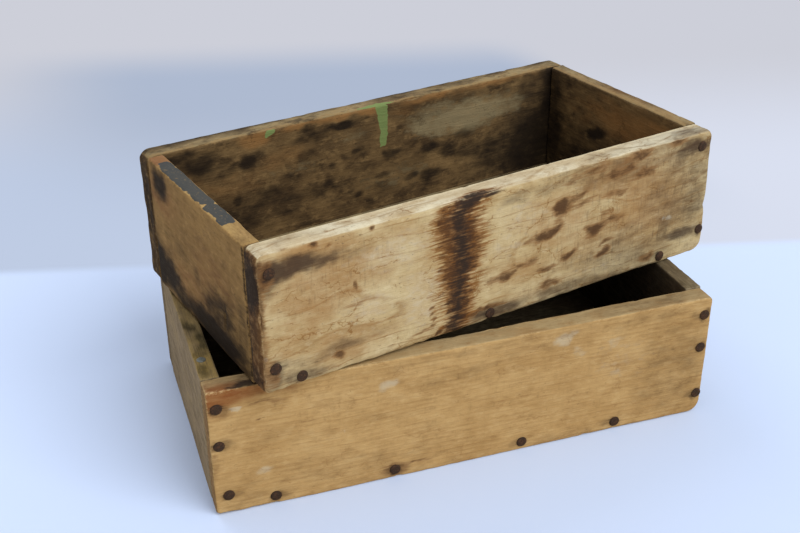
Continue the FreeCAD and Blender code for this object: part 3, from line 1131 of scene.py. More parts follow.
@dataclass(frozen=True)
class NailedBox:
    """Five nailed boards: the front and back run past the ends, and the bottom is let in.

    Left and right nails are given as shares (across, up): of half the end board's thickness from
    its middle, and of the box's height. Bottom nails are shares of half the inner length."""

    name: str
    length: float
    depth: float
    height: float
    front_thickness: float
    back_thickness: float
    end_thickness: float
    bottom_thickness: float
    stand: Stand
    left_nails: tuple[Pair, ...]
    right_nails: tuple[Pair, ...]
    bottom_nails: tuple[float, ...]
    finishes: dict[str, Pine]
    front_corners: tuple[float, float, float, float]
    back_corners: tuple[float, float, float, float]
    right_end_inset: float = 0.0
    marks: dict[str, tuple] = field(default_factory=dict)
    dents: dict[str, tuple] = field(default_factory=dict)
    wear: dict[str, dict[str, float]] = field(default_factory=dict)
    seed: int = 1
    nail_rim: Pair = (3.8, 3.7)
    nail_streak: Pair = (8.0, 3.8)
    nail_streak_shift: float = 3.0
    nail_stain: float = 0.75
    nail_seat: Pair = (4.3, 4.3)
    nail_seat_depth: float = 0.45

    def spans(self) -> dict[str, tuple[Triple, Triple, Grain]]:
        """Lowest and highest corner of each board, and how its grain runs."""
        x, y, z = self.length / 2, self.depth / 2, self.height
        inner_front, inner_back = self.front_thickness - y, y - self.back_thickness
        right = x - self.right_end_inset
        left_in, right_in = self.end_thickness - x, right - self.end_thickness
        return {
            "front_board": ((-x, -y, 0.0), (x, inner_front, z), Grain.LONG),
            "back_board": ((-x, inner_back, 0.0), (x, y, z), Grain.LONG),
            "left_end_board": ((-x, inner_front, 0.0), (left_in, inner_back, z), Grain.ACROSS),
            "right_end_board": ((right_in, inner_front, 0.0), (right, inner_back, z), Grain.ACROSS),
            "bottom_board": (
                (left_in, inner_front, 0.0),
                (right_in, inner_back, self.bottom_thickness),
                Grain.FLAT,
            ),
        }

    def nail_places(self) -> dict[str, list[Pair]]:
        """Where the nails of one long board stand on its face, as (x, z)."""
        half = self.end_thickness / 2
        left = half - self.length / 2
        right = self.length / 2 - self.right_end_inset - half
        inner_left, inner_right = left + half, right - half
        middle, reach = (inner_left + inner_right) / 2, (inner_right - inner_left) / 2
        return {
            "left_nails": [(left + a * half, b * self.height) for a, b in self.left_nails],
            "right_nails": [(right + a * half, b * self.height) for a, b in self.right_nails],
            "bottom_nails": [
                (middle + share * reach, self.bottom_thickness / 2) for share in self.bottom_nails
            ],
        }

    def nail_marks(self, side: Side) -> tuple[tuple, tuple]:
        """The dark rim, stained streak and pressed hollow that each nail has in the wood.

        Args:
            side: the face the nails are driven through.

        Returns:
            The marks and the dents.
        """
        marks, dents = [], []
        for places in self.nail_places().values():
            for x, z in places:
                inwards = (x - math.copysign(self.nail_streak_shift, x), z)
                marks += (
                    Blot(Trace.CHAR, side, (x, z), self.nail_rim, self.nail_stain),
                    Blot(Trace.SMUDGE, side, inwards, self.nail_streak, self.nail_stain),
                )
                dents.append(Dent(side, (x, z), self.nail_seat, self.nail_seat_depth))
        return tuple(marks), tuple(dents)

    def boards(self) -> list[Board]:
        """The five boards with their marks."""
        made = []
        for number, (part, (low, high, grain)) in enumerate(self.spans().items()):
            marks, dents = self.marks.get(part, ()), self.dents.get(part, ())
            options = {}
            if part in ("front_board", "back_board"):
                front = part == "front_board"
                more_marks, more_dents = self.nail_marks(Side.FRONT if front else Side.BACK)
                marks, dents = marks + more_marks, dents + more_dents
                options["corners"] = self.front_corners if front else self.back_corners
            elif part == "bottom_board":
                options.update(step=2.5, nibble=0.2, arris=0.5, bare_arris=0.0)
            else:
                options["end_sides"] = (Side.FRONT, Side.BACK)
            options.update(self.wear.get(part, {}))
            made.append(
                Board(
                    name=f"{self.name} {part.replace('_', ' ')}", finish=self.finishes[part],
                    low=low, high=high, grain=grain, marks=marks, dents=dents,
                    seed=self.seed + BOARD_SEEDS * number, **options,
                )
            )
        return made

    def build(self, wire: bpy.types.Material) -> None:
        """Builds the boards and then the nails of both long boards.

        Args:
            wire: the nails' material.
        """
        body = f"{self.name}_box"
        for part, board in zip(self.spans(), self.boards()):
            board.build(f"{self.name}_{part}_wood", self.stand, body)
        for way, (side, y) in enumerate(
            ((Side.FRONT, -self.depth / 2), (Side.BACK, self.depth / 2))
        ):
            for number, (group, places) in enumerate(self.nail_places().items()):
                NailGroup(
                    node=f"{self.name}_{side.name.lower()}_{group}", shape=WIRE_NAIL,
                    places=tuple((x, y, z) for x, z in places), side=side,
                    slot="rusted_nail_wire",
                    seed=self.seed + FACE_SEEDS * way + GROUP_SEEDS * number,
                ).build(self.stand, body, wire)


Rows = tuple[tuple[float, ...], ...]


def spots(trace: Trace, side: Side, rows: Rows) -> tuple[Blot, ...]:
    """Several oval marks on one face, each row (place, place, half, half, strength[, tilt])."""
    return tuple(Blot(trace, side, (u, v), (a, b), *rest) for u, v, a, b, *rest in rows)


def hollows(side: Side, rows: Rows) -> tuple[Dent, ...]:
    """Several dents in one face, each row (place, place, half, half, depth[, tilt])."""
    return tuple(Dent(side, (u, v), (a, b), *rest) for u, v, a, b, *rest in rows)


LOWER_MARKS = {
    "front_board": (
        Band(Trace.WARM, Side.FRONT, (
            (-150, 66, 84), (-134, 70, 84), (-112, 75, 84), (-92, 80, 84),
        ), reach=6, strength=0.9, upright=False),
    )
    + spots(Trace.WARM, Side.TOP, ((-140, -78, 16, 5, 0.8),))
    + spots(Trace.CHAR, Side.TOP, ((-129, -79, 10, 3.4, 1.1, 4),))
    + spots(Trace.CHAR, Side.FRONT, ((-131, 81, 8, 1.6, 0.9, -6),))
    + spots(Trace.PALE, Side.FRONT, (
        (-134, 69.6, 3.4, 1.2, 1.3, -10), (-132.5, 68.6, 0.9, 2, 1.2, 15),
        (-50, 64.5, 6, 2.8, 0.9, 28), (54, 71, 6, 5, 0.9, 30), (60, 74, 4, 3, 0.7),
        (-121, 24, 4, 3.4, 0.7), (92, 50, 18, 14, 0.36), (64, 60, 4, 6, 0.5), (86, 62, 6, 3, 0.5),
        (-76, 40, 2, 1.4, 0.8),
    ))
    + spots(Trace.SPOT, Side.FRONT, (
        (-122.2, 56.7, 1.6, 0.9, 1.3), (-47.6, 6, 8, 3.6, 1.1), (-34, 8.2, 10, 1, 0.9, 5),
        (-117, 68.5, 10, 1.4, 0.7, 3), (-97, 51, 4, 1, 0.6), (-147, 34, 2.4, 10, 0.5),
        (-90, 60, 12, 1, 0.4, 2),
    ))
    + spots(Trace.SMUDGE, Side.FRONT, (
        (-10, 62, 26, 5, 0.45, 2), (-95, 24, 12, 9, 0.35), (-60, 44, 30, 5, 0.3),
        (10, 74.5, 130, 4, 0.36), (106, 73, 46, 7, 0.42), (128, 38, 28, 40, 0.55),
        (-20, 30, 20, 4, 0.3), (60, 3, 50, 4, 0.45), (-40, 2, 80, 3, 0.4), (-134, 10, 14, 12, 0.45),
        (-110, 46, 20, 8, 0.3), (-70, 14, 60, 12, 0.38), (30, 68, 26, 4, 0.35, 2),
    ))
    + spots(Trace.SMUDGE, Side.TOP, ((112, -75, 46, 7, 0.65), (-120, -73, 40, 5, 0.7)))
    + spots(Trace.SCUFF, Side.FRONT, ((0, 50, 150, 60, 0.35),)),
    "left_end_board": spots(Trace.SMUDGE, Side.TOP, (
        (-142, -30, 4, 14, 1), (-146, -60, 5, 7, 0.8), (-146, -12, 4, 9, 0.9, 20),
        (-142, 12, 5, 10, 0.8), (-147, 34, 4, 14, 0.8), (-144, -44, 6, 4, 0.7),
    ))
    + spots(Trace.SMUDGE, Side.LEFT, ((-40, 50, 40, 30, 0.3), (40, 30, 30, 30, 0.3))),
    # Painted shade: the large char and smudge marks on the inner faces of the right end and back,
    # and on top of the bottom, darken the inside of the lower box where the upper box shades it.
    "right_end_board": spots(Trace.SMUDGE, Side.TOP, ((145, 0, 5, 70, 0.5),))
    + spots(Trace.CHAR, Side.LEFT, ((0, 30, 80, 40, 0.6),))
    + spots(Trace.SMUDGE, Side.LEFT, ((0, 50, 120, 70, 1.2),)),
    "back_board": spots(Trace.CHAR, Side.FRONT, ((0, 36, 160, 46, 0.5),)),
    "bottom_board": spots(Trace.CHAR, Side.TOP, ((0, 0, 150, 80, 0.5),)),
}
LOWER_DENTS = {
    "front_board": hollows(Side.FRONT, (
        (-122.2, 56.7, 1.6, 0.9, 0.5), (-134, 69.6, 3, 1.2, 0.4), (20, 80, 3.4, 1.2, 0.6),
    ))
    + hollows(Side.TOP, ((10, -70, 4, 1.4, 0.8, 5), (20, -68.8, 5, 1.2, 0.9, -4))),
    "left_end_board": hollows(Side.TOP, ((-145.4, -48.7, 3.4, 3.4, 0.3),)),
}

UPPER_MARKS = {
    "front_board": (
        Band(Trace.SCORCH, Side.FRONT, (
            (1, -42, -24), (8, -43, -22.5), (16, -43.5, -21), (25, -45, -19.5), (35, -47.5, -19),
            (45, -47.5, -16), (52, -47.5, -13.5), (62, -49, -14.5), (70, -50, -17), (76, -47, -16),
            (82.5, -41, -8),
        ), reach=9),
        Band(Trace.CHAR, Side.FRONT, (
            (3, -40.5, -30), (14, -39.5, -28.5), (24, -39, -27.5), (36, -36.5, -25),
            (50, -37, -23.5), (60, -38, -24.5), (70, -39, -26.5), (77, -38, -21), (82.5, -35, -6),
        ), reach=5.5),
        Band(Trace.BARE, Side.TOP, (
            (-150, -67, -62), (150, -67, -62),
        ), reach=1.8, strength=0.9, upright=False),
        Band(Trace.SPOT, Side.FRONT, (
            (3, -153, -147.6), (20, -153, -146.4), (40, -153, -148), (58, -153, -146.6),
            (76, -153, -147.6),
        ), reach=3),
        # painted shade: a dark line down the seam where the left end meets the front board
        Band(Trace.CHAR, Side.LEFT, ((0, -66.6, -62), (82, -66.6, -62)), reach=1.6),
        Band(Trace.SPOT, Side.LEFT, ((0, -84, -62), (82, -84, -62)), reach=6, strength=1.1),
    )
    + spots(Trace.CHAR, Side.FRONT, ((-16, 80.5, 13, 2.2, 1.1, 5),))
    + spots(Trace.CHAR, Side.TOP, ((-20, -77, 14, 2, 1.1, 4),))
    + spots(Trace.SCORCH, Side.TOP, ((-20, -76, 17, 3, 0.8, 4),))
    + spots(Trace.SMUDGE, Side.TOP, (
        (105, -72, 62, 8, 0.5), (134, -74, 24, 8, 0.8), (-128, -68, 26, 4, 0.4),
    ))
    + spots(Trace.SMUDGE, Side.BACK, (
        (0, 20, 160, 36, 0.75), (90, 30, 60, 34, 0.75), (-30, 58, 30, 7, 0.8),
    ))
    + spots(Trace.SCUFF, Side.FRONT, ((88, 42, 80, 48, 1), (-105, 58, 34, 26, 0.7)))
    + spots(Trace.CHAR, Side.LEFT, (
        (-70, 62, 8, 16, 1.35), (-69, 8, 8, 7, 0.9), (-68, 34, 5, 12, 0.6),
    ))
    + spots(Trace.SPOT, Side.FRONT, (
        (37, 59.5, 6.4, 5.2, 1.5, 10), (47, 63, 8, 2.6, 0.9, 16), (32, 46.5, 7, 2.8, 1.3, 8),
        (25, 43.5, 9, 2.8, 1.3, 6), (36, 52, 5, 2.4, 0.75, 30), (17, 42.5, 7, 2, 0.8),
        (63, 39.5, 8, 3.4, 1.4, 5), (76, 41.8, 8, 1.9, 0.95, 6), (-2, 26.4, 8, 2.6, 1.25, 4),
        (13, 31, 10, 2.2, 0.9, 8), (43, 27, 6.5, 2.6, 1.3, 10), (28, 23.5, 7, 2, 0.95),
        (69.5, 21.2, 6, 2.8, 1.3, 4), (31, 12.5, 7, 3.2, 1.1), (72, 28.5, 7, 2, 0.9, 5),
        (70, 46, 6, 1.8, 0.7), (17, 31, 5, 1.8, 0.7), (-8, 25, 6, 2, 0.8),
        (93, 78, 11, 3.6, 1.1, 5), (80, 71, 13, 3.6, 0.95, 8), (97, 66, 10, 3, 0.9, 6),
        (78, 59, 10, 2.6, 0.85, 5), (60, 76, 11, 2.8, 0.8, 4), (44, 75, 9, 2.4, 0.75, 4),
        (52, 58, 10, 2.4, 0.85, 8), (124, 80, 9, 2.6, 1, 2), (105, 8, 6, 2.8, 1),
        (-107, 11.5, 4, 1.6, 1.3, -6), (-119, 78.5, 2.4, 1.5, 1.6), (-97, 50, 1.2, 3, 1, 10),
        (-134, 80, 2.8, 1.4, 1), (-85.5, 78.4, 1.8, 1.1, 1.2), (-44, 3.2, 3, 2, 1.4, 20),
        (-54, 8, 8, 1.5, 0.9, 5), (-110, 77, 1.4, 1.2, 0.9), (-145, 70, 4, 9, 0.95),
        (-48.5, 21.5, 2.2, 0.9, 1.1), (-48.3, 17.8, 2.2, 0.9, 1.1), (-48, 14.2, 2, 0.9, 1.1),
        (-47.5, 10.6, 2, 0.9, 1), (-17, 9, 17, 1.6, 1.1, 2), (-146, 12, 4, 8, 0.8),
        (-95, 38, 9, 1.2, 0.6), (-72, 22, 6, 1.2, 0.55),
    ))
    + spots(Trace.SMUDGE, Side.FRONT, (
        (-143, 70, 13, 6, 1.5), (-130, 69.5, 16, 5.6, 1.3), (-117, 69.5, 15, 5.2, 1.05),
        (-102, 69.5, 15, 4.4, 0.65), (-104, 16, 18, 4, 0.7, 3), (-124, 13.5, 18, 4, 0.65),
        (-88, 18, 16, 3.6, 0.45, 4), (-128, 6, 17, 5, 0.8), (-145, 66, 6, 10, 1),
        (-144, 10, 7, 10, 0.8), (134, 73, 20, 6, 1, 2), (137, 57, 6, 14, 0.75, 6),
        (128, 57, 6, 12, 0.6, 6), (119, 60, 5, 12, 0.6, 6), (138, 36, 14, 16, 0.8),
        (117, 22, 8, 10, 0.8), (133, 17, 16, 5.4, 1.1, 2), (100, 12, 9, 7, 0.65),
        (-6, 6, 24, 5, 1.05, 2), (138, 72.5, 14, 4.2, 1.2), (42, 6, 26, 4.4, 0.75),
        (72, 3, 22, 6, 0.7), (132, 48, 36, 42, 0.66), (95, 74, 60, 13, 0.62, 3),
        (92, 20, 54, 20, 0.55), (50, 76, 40, 7, 0.6), (20, 74, 30, 5, 0.6, 3),
    ))
    + spots(Trace.WARM, Side.FRONT, (
        (-116, 52, 30, 22, 0.75), (-92, 58, 26, 17, 0.6), (-130, 30, 18, 26, 0.55),
        (-118, 72, 30, 14, 0.75), (-88, 36, 18, 12, 0.4), (-60, 52, 18, 12, 0.35),
        (36, 54, 28, 20, 0.65), (82, 68, 42, 18, 0.7, 5), (60, 34, 36, 16, 0.55),
        (102, 46, 34, 30, 0.75), (10, 28, 28, 10, 0.5), (-104, 16, 34, 12, 0.65),
        (-70, 72, 24, 7, 0.5), (20, 12, 30, 8, 0.4),
    ))
    + spots(Trace.PALE, Side.FRONT, (
        (117.5, 31, 1.8, 1.6, 1.2), (121.8, 29.4, 2, 1.6, 1.2), (-148, 22, 1.4, 1.4, 1.2),
        (-72, 62, 30, 10, 0.5), (-84, 34, 22, 9, 0.4), (-56, 30, 16, 20, 0.5), (8, 60, 22, 14, 0.4),
        (-2, 46, 14, 10, 0.4), (60, 12, 30, 6, 0.35),
    )),
    "left_end_board": (
        Band(Trace.PAINT, Side.TOP, (
            (-37, -151.5, -142), (-30, -150, -141), (-18, -150.5, -140.5), (-14, -150, -143.5),
            (-11, -146, -142.5), (-8, -150.5, -140.5), (8, -149.5, -140), (26, -150.5, -140.5),
            (44, -150, -141), (50, -149, -143),
        ), reach=2.5),
        # painted shade: a dark line down the seam where this end meets the front board
        Band(Trace.CHAR, Side.LEFT, ((0, -65, -62.6), (82, -65, -62.6)), reach=1.2),
    )
    + spots(Trace.WARM, Side.TOP, ((-146, 57, 9, 9, 1),))
    + spots(Trace.SPOT, Side.TOP, ((-142, -36, 9, 2, 0.6),))
    + spots(Trace.SMUDGE, Side.LEFT, (
        (47, 71, 12, 9, 1.15, 10), (62, 16, 15, 15, 1.5), (44, 15, 16, 13, 1.2),
        (28, 8, 16, 9, 1, 10), (66, 42, 6, 34, 0.7), (3, 31, 5, 8, 0.6),
        (-20, 26, 15, 13, 0.7, -20), (-32, 24, 20, 10, 0.8, -20), (-48, 12, 18, 9, 0.9),
        (-20, 8, 46, 10, 1.35), (-56, 26, 8, 26, 0.7), (30, 40, 26, 8, 0.45, 10),
        (-26, 22, 28, 17, 0.95, -15), (-10, 52, 50, 12, 0.3),
    ))
    + spots(Trace.SMUDGE, Side.RIGHT, ((0, 30, 90, 40, 0.8), (40, 20, 40, 30, 0.9)))
    + spots(Trace.WARM, Side.LEFT, (
        (-20, 40, 30, 22, 0.45), (48, 64, 24, 14, 0.6), (10, 20, 50, 14, 0.5),
    ))
    + spots(Trace.CHAR, Side.LEFT, (
        (-35, 27, 1.4, 6, 1, 8), (-29, 19, 1.2, 3, 0.7, 30), (-54, 2, 12, 2, 0.7),
    )),
    "right_end_board": (
        Band(Trace.BARE, Side.TOP, (
            (-66, 138.5, 142.5), (66, 138.5, 142.5),
        ), reach=2, strength=0.9),
    )
    + spots(Trace.SMUDGE, Side.LEFT, (
        (14, 50, 12, 4, 1.3, -20), (0, 24, 80, 26, 0.8), (58, 40, 10, 44, 1), (30, 62, 5, 4, 0.7),
    ))
    + spots(Trace.WARM, Side.LEFT, ((-30, 64, 60, 14, 0.75), (-34, 46, 36, 16, 0.6, -20)))
    + spots(Trace.WARM, Side.TOP, ((144, -10, 6, 66, 0.45),))
    + spots(Trace.SMUDGE, Side.TOP, ((147, -10, 3, 40, 0.4), (148, 44, 4, 20, 0.6))),
    "back_board": (
        Band(Trace.PAINT, Side.FRONT, (
            (54.5, 3.8, 7.6), (57, 2.8, 8.3), (70, 2.6, 8.4), (82, 2.4, 8.2),
        ), reach=1.6),
        Band(Trace.BARE, Side.TOP, (
            (-150, 64, 66.4), (-60, 64, 67.2), (0, 64, 67), (60, 64, 67.6), (150, 64, 66.6),
        ), reach=1.8, upright=False),
        Band(Trace.SMUDGE, Side.TOP, (
            (-152, 71.5, 80), (-60, 73, 80), (40, 73.5, 80), (152, 72.5, 80),
        ), reach=3, strength=0.8, upright=False),
    )
    + spots(Trace.PAINT, Side.TOP, ((0, 65.6, 12, 1.7, 1, 2),))
    + spots(Trace.PAINT, Side.FRONT, ((-74, 78.5, 3.6, 2.2, 1, 20), (-101, 81, 2, 1.3, 0.8)))
    + spots(Trace.CHAR, Side.LEFT, ((71, 52, 6, 22, 0.8),))
    + spots(Trace.PALE, Side.FRONT, (
        (72, 60, 32, 10, 1.1, 4), (46, 60, 22, 8, 0.85), (106, 62, 16, 9, 0.6),
        (-20, 64, 16, 5, 0.4), (56, 68, 34, 7, 0.65), (-60, 52, 20, 5, 0.35), (20, 30, 30, 8, 0.4),
    ))
    + spots(Trace.WARM, Side.FRONT, (
        (-82, 77.5, 12, 4.5, 0.9), (-26, 80, 18, 3, 0.9), (-52, 80, 16, 2.6, 0.7),
        (-6, 80, 12, 3, 0.9), (40, 79, 24, 3.4, 0.8), (90, 80, 30, 3, 0.7), (18, 74, 10, 3, 0.5),
        (-100, 52, 22, 8, 0.4), (-66, 60, 20, 8, 0.35), (-128, 58, 12, 8, 0.35),
    ))
    + spots(Trace.SMUDGE, Side.FRONT, (
        (-88, 63.5, 8, 6, 1.3, -8), (-84, 67, 8, 4, 1), (-118, 68, 15, 9, 1.1),
        (-132, 76, 14, 5, 1), (-104, 62, 9, 5, 0.7), (-25, 73.5, 13, 3.2, 1.3, 3),
        (-46, 71, 14, 6, 0.8), (-14, 55, 4.4, 3, 1), (12, 47.5, 9, 3.4, 1), (5, 34, 9, 3.2, 0.9),
        (-31, 47, 4.2, 3, 0.9), (-60, 47, 7, 2.8, 0.8), (-50, 58, 9, 4, 0.75, 15),
        (-19, 28, 4, 3, 0.9), (-12, 24, 4, 3, 0.9), (-97, 41, 5, 4.2, 1), (-76, 38, 12, 7, 0.8),
        (41, 44, 9, 4, 1.05), (56, 40, 10, 5, 1), (27, 28, 7, 3.6, 0.95), (40, 25, 10, 6, 1),
        (68, 48, 10, 4.4, 0.8), (73, 36, 14, 8, 0.95), (-64, 30, 16, 8, 0.75),
        (-40, 34, 16, 7, 0.75), (123, 30, 26, 28, 1.3), (100, 28, 26, 18, 1),
        (141, 48, 14, 50, 1.2), (0, 10, 150, 18, 0.35), (-110, 26, 40, 20, 0.8),
        (96, 70, 12, 5, 0.5), (30, 75, 26, 3.4, 0.6), (80, 74, 30, 3, 0.5), (0, 30, 60, 20, 0.5),
        (124, 66, 16, 12, 0.7),
    )),
    "bottom_board": spots(Trace.SMUDGE, Side.TOP, ((110, 40, 60, 40, 0.9), (-120, 0, 60, 60, 0.6)))
    # painted sheen: most of the bottom inside the upper box is made paler
    + spots(Trace.PALE, Side.TOP, ((10, 20, 90, 50, 0.9),)),
}
UPPER_DENTS = {
    "front_board": hollows(Side.FRONT, (
        (-119, 78.5, 1.7, 1.3, 0.9), (-134, 80.2, 2.4, 1, 0.6), (-85.5, 78.4, 1.4, 0.8, 0.6),
        (-107, 11.5, 3.5, 1.1, 0.5, -6), (-97, 50, 0.9, 2.8, 0.4, 10), (-44, 3.2, 3, 1.8, 0.9, 20),
        (-121, 15.5, 22, 0.45, 0.5, -3), (-97, 12.6, 12, 0.4, 0.35, 2), (151.5, 33, 2.5, 3, 1.2),
    ))
    + hollows(Side.LEFT, ((-76, 20, 2, 3, 0.7), (-75, 58, 2, 6, 0.5)))
    + hollows(Side.RIGHT, ((-77, 60, 2, 4, 0.9), (-77, 30, 3, 3, 0.8))),
    "left_end_board": hollows(Side.LEFT, (
        (-34, 24, 0.9, 5.5, 1.2, 8), (10, 1.5, 12, 1.5, 0.5),
    ))
    + hollows(Side.BOTTOM, ((-146, -14, 9, 17, 3.0),))
    + hollows(Side.TOP, ((-141, 10, 2.5, 12, 0.5),)),
    "back_board": hollows(Side.LEFT, (
        (71, 40, 6, 7, 0.9), (71, 62, 6, 4, 0.7), (71, 18, 6, 5, 0.8),
    ))
    + hollows(Side.TOP, ((-30, 77, 30, 2, 0.5),)),
}

LOWER_BOX = NailedBox(
    name="lower", length=300.0, depth=163.6, height=81.0, front_thickness=13.5,
    back_thickness=13.5, end_thickness=11.0, bottom_thickness=11.0,
    stand=Stand(0.0, (0.0, 0.0, 0.0)),
    left_nails=((0.0, 0.86), (-0.07, 0.568), (0.44, 0.157)),
    right_nails=((0.11, 0.856), (0.13, 0.578), (0.35, 0.17)),
    bottom_nails=(-0.837, -0.34, 0.222, 0.659),
    finishes={
        "front_board": HONEY, "back_board": DRIFTWOOD, "left_end_board": MOSSY,
        "right_end_board": DRIFTWOOD, "bottom_board": DRIFTWOOD,
    },
    front_corners=(2.5, 8.0, 3.5, 2.0), back_corners=(4.0, 3.0, 4.5, 3.0),
    marks=LOWER_MARKS, dents=LOWER_DENTS, wear={"front_board": {"dish": 1.2}}, seed=3,
)
UPPER_BOX = NailedBox(
    name="upper", length=302.0, depth=156.4, height=81.5, front_thickness=14.0,
    back_thickness=14.0, end_thickness=10.5, bottom_thickness=11.0,
    stand=Stand(12.9, (8.4, 14.3, 81.0)),
    left_nails=((0.38, 0.855), (0.44, 0.18)),
    right_nails=((-0.42, 0.885), (0.65, 0.193)),
    bottom_nails=(-0.917, -0.069, 0.84),
    finishes={
        "front_board": BLEACHED, "back_board": UMBER, "left_end_board": OLIVE,
        "right_end_board": UMBER, "bottom_board": UMBER,
    },
    front_corners=(5.0, 9.0, 5.5, 5.0), back_corners=(4.0, 5.0, 4.5, 6.0),
    right_end_inset=1.5, marks=UPPER_MARKS, dents=UPPER_DENTS,
    wear={
        "front_board": {
            "foot": 1.7, "lean": 1.8, "arris": 3.8, "inner": 0.3, "nibble": 0.35,
            "bare_arris": 0.34,
        },
        "back_board": {"arris": 2.2},
        "left_end_board": {"arris": 1.9},
    },
    seed=57,
)


@dataclass(frozen=True)
class Lamp:
    """A square soft lamp: its place and side in metres, and its power in watts."""

    name: str
    place: Triple
    side: float
    power: float
    colour: str

    def hang(self, target: Triple) -> None:
        """Hangs the lamp so that it faces the target."""
        data = bpy.data.lights.new(self.name, "AREA")
        data.shape = "SQUARE"
        data.size = self.side
        data.energy = self.power
        data.color = linear(self.colour)[:3]
        made = new_object(self.name, data)
        made.location = self.place
        away = Vector(target) - Vector(self.place)
        made.rotation_euler = away.to_track_quat("-Z", "Y").to_euler()


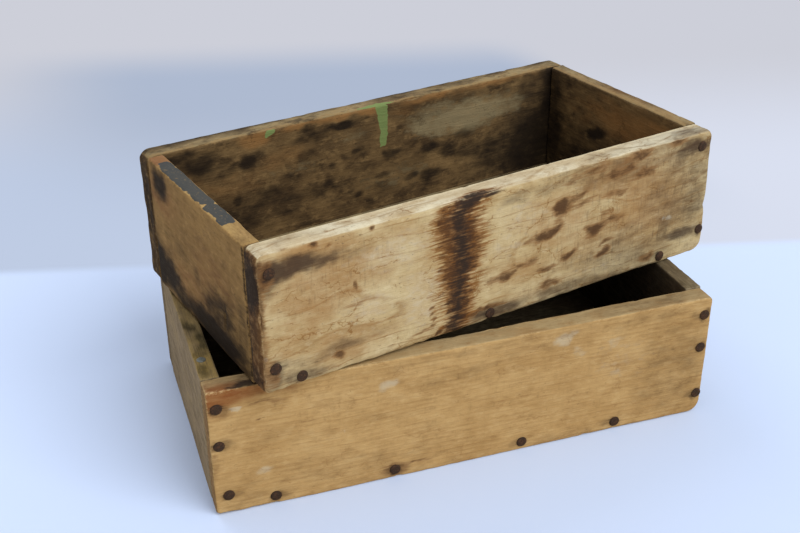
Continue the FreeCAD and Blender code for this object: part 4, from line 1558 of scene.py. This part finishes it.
@dataclass(frozen=True)
class Studio:
    """The pale table top, soft daylight and the camera.

    Lengths are in metres. The table ends for the camera on the line where y plus the slope times
    x is back_edge; how far a place leans is that same sum. Each pair gives the place or lean
    where a tone starts and where it is full."""

    table: str = "#CEDCF4"
    bounce: str = "#DCD9D2"
    beyond: str = "#DAE0F0"
    # painted shade of the boxes on the backdrop, bluer towards the left
    shade: str = "#BFCCE4"
    far: str = "#CDCFD9"
    # painted shadow of the boxes on the backdrop, darkest right behind them
    painted_shadow: str = "#AEBAD0"
    half_width: float = 9.0
    squares: int = 36
    back_edge: float = 0.179
    back_edge_slope: float = 0.261
    back_edge_soft: Pair = (-0.006, 0.010)
    shade_places: Pair = (0.42, -0.15)
    far_leans: Pair = (0.32, 0.68)
    painted_shadow_leans: tuple[Pair, Pair] = ((0.20, 0.55), (0.76, 0.62))
    painted_shadow_places: tuple[Pair, Pair] = ((-0.30, -0.08), (0.37, 0.29))
    daylight: tuple[str, float] = ("#F6F9FF", 0.58)
    room: tuple[str, float] = ("#D6DAE6", 1.0)
    lamps: tuple[Lamp, ...] = (
        Lamp("window", (3.6, -6.0, 7.6), 7.2, 880.0, "#F4F8FF"),
        Lamp("far_window", (-1.6, 6.4, 7.6), 5.6, 226.0, "#F0F4FF"),
    )
    lens: float = 52.17
    sensor: float = 36.0
    nearest: float = 0.05
    azimuth: float = -18.57
    elevation: float = 28.52
    roll: float = -0.44
    distance: float = 0.699987
    target: Triple = (-0.014568, 0.004603, 0.086560)

    def floor(self) -> None:
        """Lays the table top: a level grid of the two horizontal parameters. The camera sees
        it in its own pale blue, and light that bounces off it is neutral. Past a soft line
        behind the boxes lies the plain paper of the background, greyer far back, with the
        boxes' shadow painted on it: bluer towards the left and darker right behind the boxes."""
        across = np.linspace(-self.half_width, self.half_width, self.squares + 1)
        x, y = np.meshgrid(across, across, indexing="ij")
        points = np.stack([x, y, np.zeros_like(x)], axis=-1).reshape(-1, 3)
        number = np.arange(x.size).reshape(x.shape)
        quads = np.stack(
            [number[:-1, :-1], number[1:, :-1], number[1:, 1:], number[:-1, 1:]], axis=-1
        ).reshape(-1, 4)
        made = mesh_object("table_top", points, quads)
        made.data.materials.append(self.paper())

    def paper(self) -> bpy.types.Material:
        """Builds the table top's material."""
        material, shader = new_material("matt paper over a table")
        seen = shader.add("ShaderNodeLightPath", {}).outputs["Is Camera Ray"]
        place, depth, _ = shader.add("ShaderNodeSeparateXYZ", {0: shader.place()}).outputs
        lean = shader.calc("MULTIPLY_ADD", place, self.back_edge_slope, depth)
        edge = (self.back_edge + soft for soft in self.back_edge_soft)
        # painted shadow of the boxes on the backdrop: a darker patch right behind them
        in_painted_shadow = shader.cut(lean, *self.painted_shadow_leans[0])
        for value, limits in (
            (lean, self.painted_shadow_leans[1]), (place, self.painted_shadow_places[0]), (place, self.painted_shadow_places[1]),
        ):
            in_painted_shadow = shader.both(in_painted_shadow, shader.cut(value, *limits))
        colour = linear(self.beyond)
        for mask, tone in (
            # painted shade on the backdrop, bluer towards the left
            (shader.cut(place, *self.shade_places), self.shade),
            (shader.cut(lean, *self.far_leans), self.far),
            (in_painted_shadow, self.painted_shadow),
        ):
            colour = shader.mix(mask, colour, linear(tone))
        top = shader.mix(seen, linear(self.bounce), linear(self.table))
        links = {"Base Color": top, "Roughness": 0.9, "Specular IOR Level": 0.2}
        near = shader.add("ShaderNodeBsdfPrincipled", links).outputs[0]
        shown = shader.add("ShaderNodeEmission", {0: colour, 1: 1.0}).outputs[0]
        links = {0: shader.both(shader.cut(lean, *edge), seen), 1: near, 2: shown}
        surface = shader.add("ShaderNodeMixShader", links).outputs[0]
        shader.add("ShaderNodeOutputMaterial", {"Surface": surface})
        return material

    def sky(self) -> None:
        """Pale daylight from all round, and a white room where the camera or a gloss sees it."""
        world = bpy.data.worlds.new("daylight")
        bpy.context.scene.world = world
        world.use_nodes = True
        world.node_tree.nodes.clear()
        shader = Shader(world.node_tree)
        path = shader.add("ShaderNodeLightPath", {}).outputs
        light, seen = (
            shader.add("ShaderNodeBackground", {0: linear(tone), 1: strength}).outputs[0]
            for tone, strength in (self.daylight, self.room)
        )
        rays = path["Is Camera Ray"]
        for more in ("Is Glossy Ray", "Is Transmission Ray"):
            rays = shader.calc("MAXIMUM", rays, path[more])
        mixed = shader.add("ShaderNodeMixShader", {0: rays, 1: light, 2: seen}).outputs[0]
        shader.add("ShaderNodeOutputWorld", {"Surface": mixed})

    def camera(self) -> None:
        """Sets up the camera at the photograph's angle, turned a little about its own axis."""
        azimuth, elevation = math.radians(self.azimuth), math.radians(self.elevation)
        level = math.cos(elevation)
        back = Vector(
            (math.sin(azimuth) * level, -math.cos(azimuth) * level, math.sin(elevation))
        )
        data = bpy.data.cameras.new("camera")
        data.lens = self.lens
        data.sensor_width = self.sensor
        data.clip_start = self.nearest
        made = new_object("camera", data)
        made.location = Vector(self.target) + back * self.distance
        upright = (-back).to_track_quat("-Z", "Y").to_matrix()
        roll = Matrix.Rotation(math.radians(self.roll), 3, back)
        made.rotation_euler = (roll @ upright).to_euler()
        bpy.context.scene.camera = made

    def build(self) -> None:
        """Sets the stage."""
        bpy.context.scene.view_settings.view_transform = "Standard"
        self.floor()
        self.sky()
        for lamp in self.lamps:
            lamp.hang(self.target)
        self.camera()


def main() -> None:
    """Builds both boxes, the tack and the stage."""
    logging.basicConfig(level=logging.INFO, format="%(name)s: %(message)s")
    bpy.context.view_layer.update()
    wire = RUSTED_WIRE.dress()
    LOWER_BOX.build(wire)
    UPPER_BOX.build(wire)
    NailGroup(
        node="lower_rim_tack", shape=TACK, places=((-145.4, -48.7, 81.0),), side=Side.TOP,
        slot="zinc_tack", seed=9,
    ).build(LOWER_BOX.stand, "lower_box", DULL_ZINC.dress())
    Studio().build()
    bpy.context.view_layer.update()


if __name__ == "__main__":
    main()
